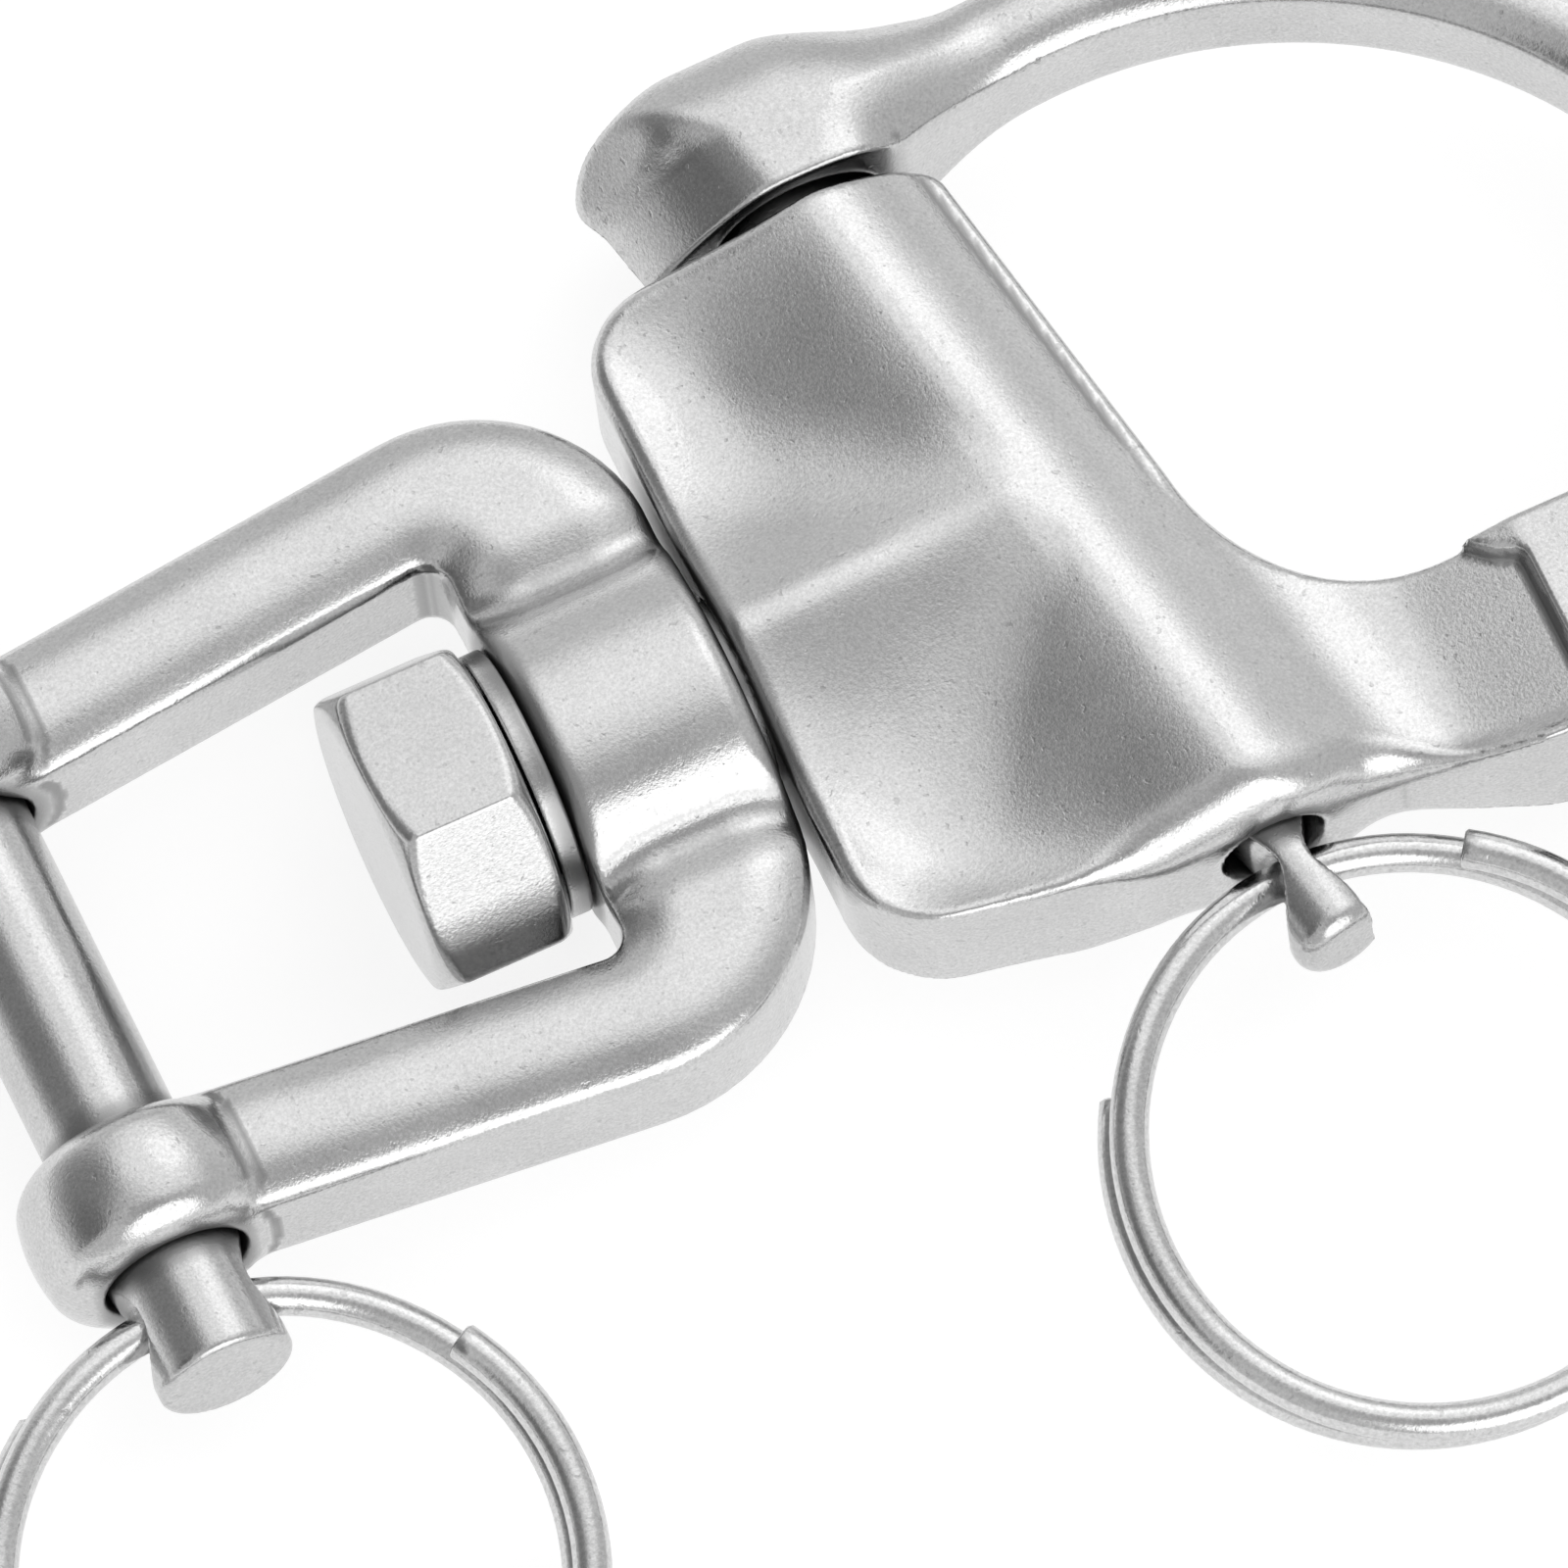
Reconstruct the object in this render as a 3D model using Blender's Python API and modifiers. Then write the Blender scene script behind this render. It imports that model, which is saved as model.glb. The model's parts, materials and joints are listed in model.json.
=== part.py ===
"""Jaw swivel snap shackle, 87 mm long, latched and lying flat with both split rings fallen to the bench.

The shackle's own frame has its origin on the swivel axis, at the face where the jaw meets the body.
X runs along the swivel axis from the jaw to the bail, Y across the body to the bail's free end, and Z is
square to the body's flat side. The root empty carries that frame at its height above the bench.
"""

import math

import bmesh
import bpy
from mathutils import Matrix, Vector

MM = 0.001
X, Y, Z = Vector((1, 0, 0)), Vector((0, 1, 0)), Vector((0, 0, 1))

# The swivel face's centre, measured from the point on the bench under the middle of the shackle
SWIVEL_AT = Vector((-1.8, 8.83, 6.763)) * MM
GAP = 0.3 * MM  # running gap between neighbouring pieces
OVERRUN = 1.0 * MM  # how far a cutter runs past the face that it opens
ARC_STEP = math.radians(15)  # one facet of a rounded corner
SIDES = 32  # facets of a turned piece
BORE_SIDES = 36  # facets of a hole in a turned piece, whose edges then miss the facets round it

# Jaw: two legs from a crown to a pair of ears, with a hub round the swivel bolt
CLEVIS_REACH = 31.7 * MM  # pin axis to swivel face
JAW_OPENING = 15.8 * MM  # between the ears' inner faces
EAR_LENGTH = 6.1 * MM
EAR_D = 10.8 * MM
EAR_FACE_D = 8.4 * MM  # flat face at each end of an ear
LEG_SETBACK = 0.2 * MM  # leg's inner face behind the ear's
LEG_SPLAY = math.radians(4.2)
LEG_WIDTH_AT_EAR = 5.3 * MM
LEG_WIDTH_AT_CROWN = 6.3 * MM
LEG_DEPTH = 6.8 * MM
LEG_ROUNDING = 2.9 * MM
CROWN_DEPTH = 8.75 * MM
CROWN_UPPER_R = 8.0 * MM
CROWN_LOWER_R = 9.2 * MM
CROWN_INNER_R = 1.8 * MM
HUB_D = 11.2 * MM

# Clevis pin, headed at one end and cross-drilled at the other
CLEVIS_PIN_D = 6.0 * MM
CLEVIS_HEAD_D = 9.0 * MM
CLEVIS_HEAD_H = 2.0 * MM
CLEVIS_TAIL = 5.1 * MM  # beyond the ear
CLEVIS_HOLE_TO_END = 3.3 * MM
CLEVIS_HOLE_D = 3.2 * MM
HOLE_FLARE = 0.5 * MM  # widening of a ring's hole at each mouth
PIN_CHAMFER = 0.3 * MM

# Split rings: one wire of less than two turns, in two layers, crossing from one to the other in its hole
RING_D = 26.4 * MM
RING_WIRE_D = 1.65 * MM
RING_LAYER_GAP = 0.45 * MM
RING_TURNS = 1.75
RING_CURL_POINTS = 24
CLEVIS_RING_YAW = math.radians(-6)
CLEVIS_RING_FED = math.radians(38)  # angle from the hole to the lower layer's end
PULL_RING_YAW = math.radians(0)
PULL_RING_FED = math.radians(58)

# Swivel bolt and the washer under its head
BOLT_D = 8.0 * MM
BOLT_IN_BODY = 8.8 * MM
HEX_ACROSS_FLATS = 13.0 * MM
HEX_H = 6.2 * MM
HEX_CHAMFER = 1.0 * MM
HEX_TURN = math.radians(-4.3)  # how the head was left when the bolt was tightened
WASHER_D = 12.6 * MM
WASHER_H = 0.6 * MM

# Body: a plate with a raised boss along the swivel axis, a barrel across it and an arm to the hinge
BOSS_PROUD = 0.05 * MM  # swivel boss beyond the plate's edge
BOSS_D = 10.6 * MM
BOSS_LENGTH = 13.0 * MM
BODY_TOP = 17.2 * MM
BODY_FOOT = 16.5 * MM
PLATE_DEPTH = 6.4 * MM
PLATE_ROUNDING = 1.2 * MM
SHOULDER_R = 3.6 * MM
NOSE_R = 1.6 * MM
HEEL_Y = 14.0 * MM
HEEL_R = 4.5 * MM
FOOT_R = 8.0 * MM
THROAT_R = 9.5 * MM
BARREL_X = 14.3 * MM  # where the barrel's axis crosses the swivel axis
BARREL_SLANT = math.radians(9.8)
BARREL_WIDTH = 10.5 * MM
BARREL_DEPTH = 11.0 * MM
BARREL_EDGE = 0.1 * MM  # plate's edge beyond the barrel's side
ARM_RISE = 4.7 * MM  # arm's upper edge above the hinge axis
ARM_DROP = 4.4 * MM
ARM_BELLY_X = 29.5 * MM  # where the arm's lower edge is lowest
ARM_BELLY = 18.4 * MM
HINGE_X = 37.0 * MM
HINGE_Y = -13.3 * MM
CHEEK_D = 11.0 * MM
CHEEK_DEPTH = 8.6 * MM
CHEEK_ROOM = 0.9 * MM  # between the cheeks' rim and the bail's shoulders, which meet the arm when it is open
SLOT_REACH = 7.0 * MM  # slot's floor to the hinge axis

# Bail: a round band with a thick latching end and a tongue between the arm's cheeks
BAIL_CENTRE = Vector((24.2, -1.5)) * MM
BAIL_INNER_R = 21.3 * MM
BAIL_WIDTH = 4.3 * MM
BAIL_DEPTH = 5.8 * MM
BAIL_ROUNDING = 2.2 * MM
BAIL_ARC_FROM = math.radians(-25)
BAIL_ARC_TO = math.radians(112)
BAIL_HEEL_RUN = 4.0 * MM  # from the end of the band's arc to the corner of its heel
BAIL_HEEL_R = 5.0 * MM
TONGUE_DEPTH = 4.0 * MM
TONGUE_R = 4.8 * MM
LATCH_GAP = 0.9 * MM  # between the body's top and the bail's latching end
LATCH_FROM_X = 2.9 * MM
LATCH_CROWN_X = 10.8 * MM
LATCH_TO_X = 15.4 * MM
LATCH_BLEND_X = 20.0 * MM  # where the latching end has thinned down to the band
LATCH_BLEND_WIDTH = 5.1 * MM
LATCH_WIDTH = 7.5 * MM
LATCH_END_WIDTH = 5.6 * MM
LATCH_DEPTH = 10.0 * MM
LATCH_ROUNDING = 2.6 * MM
LATCH_CORNER_R = 2.6 * MM
LATCH_CROWN_R = 6.0 * MM

# Hinge rivet
RIVET_D = 4.0 * MM
RIVET_HEAD_D = 6.6 * MM
RIVET_HEAD_H = 0.8 * MM

# Plunger and its spring, on the barrel's axis
PLUNGER_HEAD_D = 6.4 * MM
PLUNGER_ROD_D = 4.3 * MM
PLUNGER_BITE = 4.0 * MM  # tip beyond the body's top
PLUNGER_TAIL = 5.2 * MM  # beyond the body's foot
PLUNGER_HOLE_TO_END = 4.0 * MM
PLUNGER_HOLE_D = 2.9 * MM
PLUNGER_HEAD_LENGTH = 17.5 * MM
SPRING_WIRE_D = 0.6 * MM
SPRING_LENGTH = 15.0 * MM
SPRING_TURNS = 8
SPRING_CURL_POINTS = 10

# Places that follow from the sizes above
JAW_FACE_X = -BOSS_PROUD - GAP
CROWN_INNER_X = JAW_FACE_X - CROWN_DEPTH
PIN_X = -CLEVIS_REACH
EAR_IN = JAW_OPENING / 2
EAR_OUT = EAR_IN + EAR_LENGTH
CLEVIS_END = EAR_OUT + CLEVIS_TAIL
CLEVIS_HOLE = Vector((PIN_X, CLEVIS_HOLE_TO_END - CLEVIS_END, 0))
RING_R = (RING_D - RING_WIRE_D) / 2
RING_LAYER = RING_WIRE_D + RING_LAYER_GAP
HINGE = Vector((HINGE_X, HINGE_Y, 0))
BARREL_AT = Vector((BARREL_X, 0, 0))
BARREL_AXIS = Vector((math.sin(BARREL_SLANT), -math.cos(BARREL_SLANT), 0))
TIP_ALONG = -(BODY_TOP + PLUNGER_BITE) / math.cos(BARREL_SLANT)
TAIL_ALONG = (BODY_FOOT + PLUNGER_TAIL) / math.cos(BARREL_SLANT)
SHOULDER_ALONG = TIP_ALONG + PLUNGER_HEAD_LENGTH
SPRING_SEAT_ALONG = SHOULDER_ALONG + SPRING_LENGTH + 2 * GAP
PLUNGER_HOLE = BARREL_AT + BARREL_AXIS * (TAIL_ALONG - PLUNGER_HOLE_TO_END)
LATCH_IN = BODY_TOP + LATCH_GAP


def barrel_x(y):
    """The barrel axis's X at a given Y."""
    return BARREL_X - y * math.tan(BARREL_SLANT)


def clear_scene():
    for obj in list(bpy.data.objects):
        bpy.data.objects.remove(obj)


def new_collection(name):
    made = bpy.data.collections.new(name)
    bpy.context.scene.collection.children.link(made)
    return made


def new_metal(name, colour, roughness):
    made = bpy.data.materials.new(name)
    made.use_nodes = True
    shader = made.node_tree.nodes["Principled BSDF"]
    shader.inputs["Base Color"].default_value = (*colour, 1)
    shader.inputs["Metallic"].default_value = 1
    shader.inputs["Roughness"].default_value = roughness
    made.diffuse_color = (*colour, 1)
    return made


def new_empty(name, at, parent=None):
    """An empty at a point of the shackle's frame. Empties are never turned, so positions simply add up."""
    made = bpy.data.objects.new(name, None)
    made.location = at
    PARTS.objects.link(made)
    if parent:
        hang(made, parent)
    return made


def place_of(empty):
    """An empty's place in the shackle's frame, whose root is the empty that has no parent."""
    return empty.location + place_of(empty.parent) if empty.parent else Vector()


def hang(obj, parent):
    """Parents an object that lies in the shackle's frame, and keeps it where it is."""
    obj.parent = parent
    obj.location -= place_of(parent)


def as_piece(obj, name, material, parent):
    """Makes an object one of the shackle's pieces."""
    obj.name = name
    obj.data.name = name
    obj.data.materials.clear()
    obj.data.materials.append(material)
    obj.data.shade_smooth()
    obj.data.set_sharp_from_angle(angle=math.radians(35))
    HELPERS.objects.unlink(obj)
    PARTS.objects.link(obj)
    obj.hide_render = False
    obj.display_type = "TEXTURED"
    hang(obj, parent)
    return obj


def helper(name, mesh):
    """A shape in the shackle's frame. It is a cutter or a lump to join until as_piece makes it a piece."""
    made = bpy.data.objects.new(name, mesh)
    made.hide_render = True
    made.display_type = "WIRE"
    HELPERS.objects.link(made)
    return made


def stand(obj):
    """Parents a finished helper to the root."""
    if obj.parent is None:
        hang(obj, ROOT)


def combine(target, other, operation):
    stand(other)
    step = target.modifiers.new(f"{operation.lower()} {other.name}", "BOOLEAN")
    step.operation = operation
    step.solver = "EXACT"
    step.object = other


def cut(target, other):
    combine(target, other, "DIFFERENCE")


def join(target, other):
    combine(target, other, "UNION")


def turn_to(direction):
    return Z.rotation_difference(direction).to_matrix().to_4x4()


def cylinder(name, diameter, length, middle, direction, sides=SIDES, width=None):
    """A cylinder about its middle. A width makes it oval across the direction, in the XY plane."""
    bm = bmesh.new()
    matrix = Matrix.Translation(middle) @ turn_to(direction)
    if width:
        across = direction.cross(Z)
        local = turn_to(direction).inverted() @ across
        matrix = matrix @ Matrix.Scale(width / diameter, 4, local)
    radius = diameter / 2
    bmesh.ops.create_cone(
        bm, cap_ends=True, segments=sides, radius1=radius, radius2=radius, depth=length, matrix=matrix
    )
    return helper(name, as_mesh(name, bm))


def box(name, low, high):
    bm = bmesh.new()
    low, high = Vector(low), Vector(high)
    matrix = Matrix.Translation((low + high) / 2) @ Matrix.Diagonal((*(high - low), 1))
    bmesh.ops.create_cube(bm, size=1, matrix=matrix)
    return helper(name, as_mesh(name, bm))


def as_mesh(name, bm):
    bmesh.ops.recalc_face_normals(bm, faces=bm.faces)
    mesh = bpy.data.meshes.new(name)
    bm.to_mesh(mesh)
    bm.free()
    return mesh


def turned(name, profile, at, direction, ring=False):
    """A profile of (radius, height) pairs, from its top down, turned about a direction through a point."""
    mesh = bpy.data.meshes.new(name)
    count = len(profile)
    edges = [(i, i + 1) for i in range(count - 1)]
    if ring:
        edges.append((count - 1, 0))
    mesh.from_pydata([(r, 0, h) for r, h in profile], edges, [])
    made = helper(name, mesh)
    made.location = at
    made.rotation_mode = "QUATERNION"
    made.rotation_quaternion = Z.rotation_difference(direction)
    screw = made.modifiers.new("turn", "SCREW")
    screw.axis = "Z"
    screw.steps = SIDES
    screw.render_steps = SIDES
    screw.use_merge_vertices = True
    screw.merge_threshold = 1e-6
    return made


def rounded(corners):
    """An outline's points, from its corners (x, y, radius) in order. Radius 0 keeps a corner sharp."""
    points = []
    for i, (x, y, radius) in enumerate(corners):
        here = Vector((x, y))
        before = Vector(corners[i - 1][:2]) - here
        after = Vector(corners[(i + 1) % len(corners)][:2]) - here
        half = before.angle(after) / 2
        turn = math.pi - 2 * half
        if radius == 0 or turn < math.radians(1):
            points.append(here)
            continue
        room = min(before.length, after.length) * 0.98
        run = min(radius / math.tan(half), room)
        radius = run * math.tan(half)
        centre = here + (before.normalized() + after.normalized()).normalized() * radius / math.sin(half)
        start = here + before.normalized() * run - centre
        way = math.copysign(1, before.cross(after)) * -1
        steps = max(2, math.ceil(turn / ARC_STEP))
        for k in range(steps + 1):
            points.append(centre + Matrix.Rotation(way * turn * k / steps, 2) @ start)
    return points


def arc(centre, radius, start, end):
    steps = max(2, math.ceil(abs(end - start) / ARC_STEP * 2))
    angles = [start + (end - start) * k / steps for k in range(steps + 1)]
    return [centre + radius * Vector((math.cos(a), math.sin(a))) for a in angles]


def mesh_of(curve_object):
    """The mesh of a curve object with its caps welded on. The curve object is removed."""
    bpy.context.view_layer.update()
    graph = bpy.context.evaluated_depsgraph_get()
    mesh = bpy.data.meshes.new_from_object(curve_object.evaluated_get(graph))
    bpy.data.objects.remove(curve_object)
    bm = bmesh.new()
    bm.from_mesh(mesh)
    bmesh.ops.remove_doubles(bm, verts=bm.verts, dist=1e-6)
    bmesh.ops.recalc_face_normals(bm, faces=bm.faces)
    bm.to_mesh(mesh)
    bm.free()
    return mesh


def plate(name, outline, depth, rounding, rounds=None, segments=3):
    """An outline as a flat plate about the XY plane, with its rims rounded where rounds(point) holds."""
    curve = bpy.data.curves.new(name, "CURVE")
    curve.dimensions = "2D"
    curve.fill_mode = "BOTH"
    curve.extrude = depth / 2
    spline = curve.splines.new("POLY")
    spline.use_cyclic_u = True
    spline.points.add(len(outline) - 1)
    for point, (x, y) in zip(spline.points, outline):
        point.co = (x, y, 0, 1)
    drawn = bpy.data.objects.new(name, curve)
    HELPERS.objects.link(drawn)
    mesh = mesh_of(drawn)
    bm = bmesh.new()
    bm.from_mesh(mesh)
    flat = math.radians(1)
    bmesh.ops.dissolve_limit(bm, angle_limit=flat, verts=[], edges=[e for e in bm.edges if is_inside_cap(e)])
    rims = [e for e in bm.edges if is_rim(e) and (rounds is None or all(rounds(v.co) for v in e.verts))]
    bmesh.ops.bevel(
        bm, geom=rims, offset=rounding, segments=segments, profile=0.5, affect="EDGES", clamp_overlap=True
    )
    bm.to_mesh(mesh)
    bm.free()
    return helper(name, mesh)


def is_inside_cap(edge):
    return len(edge.link_faces) == 2 and all(abs(f.normal.z) > 0.99 for f in edge.link_faces)


def is_rim(edge):
    normals = [abs(f.normal.z) for f in edge.link_faces]
    return len(normals) == 2 and max(normals) > 0.99 and min(normals) < 0.01


def wire(name, points, diameter):
    """One round wire through the points, with flat ends."""
    curve = bpy.data.curves.new(name, "CURVE")
    curve.dimensions = "3D"
    curve.bevel_depth = diameter / 2
    curve.bevel_resolution = 1
    curve.use_fill_caps = True
    spline = curve.splines.new("POLY")
    spline.points.add(len(points) - 1)
    for point, place in zip(spline.points, points):
        point.co = (*place, 1)
    drawn = bpy.data.objects.new(name, curve)
    HELPERS.objects.link(drawn)
    return helper(name, mesh_of(drawn))


def print_least_gap(name, points, diameter, points_a_turn):
    """Prints the least gap between points of a wire that are half a turn or more apart along it."""
    apart = points_a_turn // 2
    least = min((a - b).length for i, a in enumerate(points) for b in points[i + apart :])
    print(f"{name}: least gap to itself {(least - diameter) / MM:.2f} mm")


def jaw_leg_y(x, width=0.0):
    """Half the jaw's opening between its legs at x, or the legs' outer edge if a width is added."""
    return EAR_IN + LEG_SETBACK + (x - PIN_X) * math.tan(LEG_SPLAY) + width


def make_jaw():
    outer = jaw_leg_y(JAW_FACE_X, LEG_WIDTH_AT_CROWN)
    inner = jaw_leg_y(CROWN_INNER_X)
    end = PIN_X - OVERRUN
    leg_inner, leg_outer = jaw_leg_y(end), jaw_leg_y(end, LEG_WIDTH_AT_EAR)
    corners = [
        (end, leg_outer, 0),
        (end, leg_inner, 0),
        (CROWN_INNER_X, inner, CROWN_INNER_R),
        (CROWN_INNER_X, -inner, CROWN_INNER_R),
        (end, -leg_inner, 0),
        (end, -leg_outer, 0),
        (JAW_FACE_X, -outer, CROWN_LOWER_R),
        (JAW_FACE_X, outer, CROWN_UPPER_R),
    ]

    def is_outer(point):
        middle = jaw_leg_y(point.x, LEG_WIDTH_AT_EAR / 2)
        return abs(point.y) > middle or point.x > CROWN_INNER_X + CROWN_INNER_R

    fork = plate("fork", rounded(corners), LEG_DEPTH, LEG_ROUNDING, is_outer)
    hub_length = CROWN_DEPTH
    join(fork, cylinder("hub", HUB_D, hub_length, X * (JAW_FACE_X - hub_length / 2), X))
    pin_line = Vector((PIN_X, 0, 0))
    bulge = [(EAR_FACE_D / 2, 1.0), (0.94 * EAR_D / 2, 0.85), (EAR_D / 2, 0.5), (0.94 * EAR_D / 2, 0.15)]
    for side, name in ((1, "upper ear"), (-1, "lower ear")):
        profile = [(0, EAR_OUT)]
        profile += [(r, EAR_IN + share * EAR_LENGTH) for r, share in bulge]
        profile += [(EAR_FACE_D / 2, EAR_IN), (0, EAR_IN)]
        join(fork, turned(name, profile, pin_line, Y * side))
    pin_hole = 2 * (EAR_OUT + OVERRUN)
    cut(fork, cylinder("pin hole", CLEVIS_PIN_D + 2 * GAP, pin_hole, pin_line, Y, BORE_SIDES))
    bolt_hole = CROWN_DEPTH + 2 * OVERRUN
    cut(fork, cylinder("swivel bore", BOLT_D + 2 * GAP, bolt_hole, X * (JAW_FACE_X - CROWN_DEPTH / 2), X))
    return as_piece(fork, "jaw", CAST, SWIVEL)


def ring_hole(name, at, diameter, rod_diameter):
    """A round hole along X through a rod, with flared mouths, for a ring to swing in."""
    throat, surface, past = diameter / 2, rod_diameter / 2, rod_diameter / 2 + OVERRUN
    deep = surface - 2 * HOLE_FLARE
    mouth = throat + HOLE_FLARE * (past - deep) / (surface - deep)
    profile = [(0, past), (mouth, past), (throat, deep), (throat, -deep), (mouth, -past), (0, -past)]
    return turned(name, profile, at, X)


def make_clevis_pin():
    radius, head = CLEVIS_PIN_D / 2, CLEVIS_HEAD_D / 2
    under = EAR_OUT + GAP
    top = under + CLEVIS_HEAD_H
    profile = [
        (0, top),
        (head - PIN_CHAMFER, top),
        (head, top - PIN_CHAMFER),
        (head, under),
        (radius, under),
        (radius, PIN_CHAMFER - CLEVIS_END),
        (radius - PIN_CHAMFER, -CLEVIS_END),
        (0, -CLEVIS_END),
    ]
    pin = turned("clevis_pin", profile, Vector((PIN_X, 0, 0)), Y)
    cut(pin, ring_hole("clevis ring hole", CLEVIS_HOLE, CLEVIS_HOLE_D, CLEVIS_PIN_D))
    return as_piece(pin, "clevis_pin", TURNED, CLEVIS)


def ring_points(hole, yaw, fed):
    """The wire of a split ring that hangs from a hole and rests on the bench.

    The wire starts on the lower layer, at the angle fed from the hole, and climbs to the upper layer where
    only one turn of it passes through the hole.
    """
    below = SWIVEL_AT.z - RING_LAYER / 2 - RING_WIRE_D / 2
    droop = math.asin(below / (2 * RING_R))
    turn = Matrix.Translation(hole) @ Matrix.Rotation(yaw, 4, "Z") @ Matrix.Rotation(droop, 4, "X")
    whole = 2 * math.pi
    layer_angle = (RING_TURNS - 1) * whole
    count = round(RING_TURNS * RING_CURL_POINTS)
    points = []
    for k in range(count + 1):
        run = RING_TURNS * whole * k / count
        climbed = min(max((run - layer_angle) / (whole - layer_angle), 0), 1)
        angle = math.pi / 2 + fed + run
        height = (climbed - 0.5) * RING_LAYER
        points.append(turn @ Vector((RING_R * math.cos(angle), RING_R * (math.sin(angle) - 1), height)))
    return points


def make_ring(name, hole, yaw, fed, parent):
    points = ring_points(hole, yaw, fed)
    print_least_gap(name, points, RING_WIRE_D, RING_CURL_POINTS)
    return as_piece(wire(name, points, RING_WIRE_D), name, SPRING_STEEL, parent)


def make_swivel_bolt():
    under = CROWN_INNER_X - WASHER_H - 2 * GAP
    across = HEX_ACROSS_FLATS / math.cos(math.radians(30))
    middle = X * (under - HEX_H / 2)
    hexagon = cylinder("hex head", across, HEX_H, middle, X, sides=6)
    hexagon.data.transform(Matrix.Rotation(HEX_TURN, 4, "X"))
    flat, corner = HEX_ACROSS_FLATS / 2 - HEX_CHAMFER / 4, across / 2
    slope = (corner - flat) * math.tan(math.radians(30))
    drum = [
        (0, HEX_H / 2 + OVERRUN),
        (flat - OVERRUN / math.tan(math.radians(30)), HEX_H / 2 + OVERRUN),
        (corner, HEX_H / 2 - slope),
        (corner, slope - HEX_H / 2),
        (flat - OVERRUN / math.tan(math.radians(30)), -HEX_H / 2 - OVERRUN),
        (0, -HEX_H / 2 - OVERRUN),
    ]
    combine(hexagon, turned("hex chamfers", drum, middle, X), "INTERSECT")
    shank = BOLT_IN_BODY - under
    join(hexagon, cylinder("shank", BOLT_D, shank + OVERRUN, X * (BOLT_IN_BODY - (shank + OVERRUN) / 2), X))
    return as_piece(hexagon, "swivel_bolt", TURNED, ROOT)


def make_head_washer():
    low = CROWN_INNER_X - GAP - WASHER_H
    inside, outside = BOLT_D / 2 + GAP, WASHER_D / 2
    profile = [(inside, WASHER_H), (outside, WASHER_H), (outside, 0), (inside, 0)]
    return as_piece(turned("head_washer", profile, X * low, X, ring=True), "head_washer", TURNED, ROOT)


def body_outline():
    """The body seen square to its flat side, counter-clockwise from its heel beside the jaw."""
    edge = (BARREL_WIDTH / 2 + BARREL_EDGE) / math.cos(BARREL_SLANT)
    arm_top = HINGE_Y + ARM_RISE
    return rounded(
        [
            (0, -HEEL_Y, HEEL_R),
            (barrel_x(-BODY_FOOT) - edge, -BODY_FOOT, FOOT_R),
            (barrel_x(-BODY_FOOT) + edge, -BODY_FOOT, FOOT_R),
            (ARM_BELLY_X, -ARM_BELLY, FOOT_R),
            (HINGE_X, HINGE_Y - ARM_DROP, 0),
            (HINGE_X, arm_top, 0),
            (barrel_x(arm_top) + edge, arm_top, THROAT_R),
            (barrel_x(BODY_TOP) + edge, BODY_TOP, NOSE_R),
            (0, BODY_TOP, SHOULDER_R),
        ]
    )


def make_body():
    body = plate("body", body_outline(), PLATE_DEPTH, PLATE_ROUNDING, segments=2)
    boss_middle = X * (BOSS_LENGTH / 2 - BOSS_PROUD)
    join(body, cylinder("swivel boss", BOSS_D, BOSS_LENGTH, boss_middle, X))
    top, foot = BODY_TOP / math.cos(BARREL_SLANT), BODY_FOOT / math.cos(BARREL_SLANT)
    lean = BARREL_WIDTH / 2 * math.tan(BARREL_SLANT)
    barrel_start, barrel_end = -top - lean - OVERRUN, foot - lean
    barrel_middle = BARREL_AT + BARREL_AXIS * (barrel_start + barrel_end) / 2
    barrel = cylinder(
        "barrel", BARREL_DEPTH, barrel_end - barrel_start, barrel_middle, BARREL_AXIS, width=BARREL_WIDTH
    )
    far = BARREL_DEPTH
    low = (barrel_x(BODY_TOP) - far, BODY_TOP - BOSS_PROUD, -far)
    cut(barrel, box("barrel top", low, (barrel_x(BODY_TOP) + far, BODY_TOP + far, far)))
    join(body, barrel)
    join(body, cylinder("cheeks", CHEEK_D, CHEEK_DEPTH, HINGE, Z))
    slot = TONGUE_DEPTH / 2 + GAP
    low = (HINGE_X - SLOT_REACH, HINGE_Y - CHEEK_D, -slot)
    cut(body, box("slot", low, (HINGE_X + CHEEK_D, HINGE_Y + CHEEK_D, slot)))
    cut(body, cylinder("rivet hole", RIVET_D + 2 * GAP, CHEEK_DEPTH + 2 * OVERRUN, HINGE, Z))
    bolt_hole = BOLT_IN_BODY + GAP + OVERRUN
    cut(body, cylinder("bolt hole", BOLT_D + 2 * GAP, bolt_hole, X * (bolt_hole / 2 - OVERRUN), X))
    head, rod = PLUNGER_HEAD_D / 2 + GAP, PLUNGER_ROD_D / 2 + GAP
    profile = [
        (0, TAIL_ALONG),
        (rod, TAIL_ALONG),
        (rod, SPRING_SEAT_ALONG),
        (head, SPRING_SEAT_ALONG),
        (head, TIP_ALONG),
        (0, TIP_ALONG),
    ]
    cut(body, turned("plunger bore", profile, BARREL_AT, BARREL_AXIS))
    return as_piece(body, "body", CAST, ROOT)


def latch_outline():
    """The bail's thick end, from the end of its flat inner face round to its free end."""
    return rounded(
        [
            (LATCH_TO_X, LATCH_IN, 0),
            (LATCH_BLEND_X, LATCH_IN + LATCH_BLEND_WIDTH, LATCH_CORNER_R / 2),
            (LATCH_CROWN_X, LATCH_IN + LATCH_WIDTH, LATCH_CROWN_R),
            (LATCH_FROM_X, LATCH_IN + LATCH_END_WIDTH, LATCH_CORNER_R),
            (LATCH_FROM_X, LATCH_IN, LATCH_CORNER_R / 2),
        ]
    )


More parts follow.
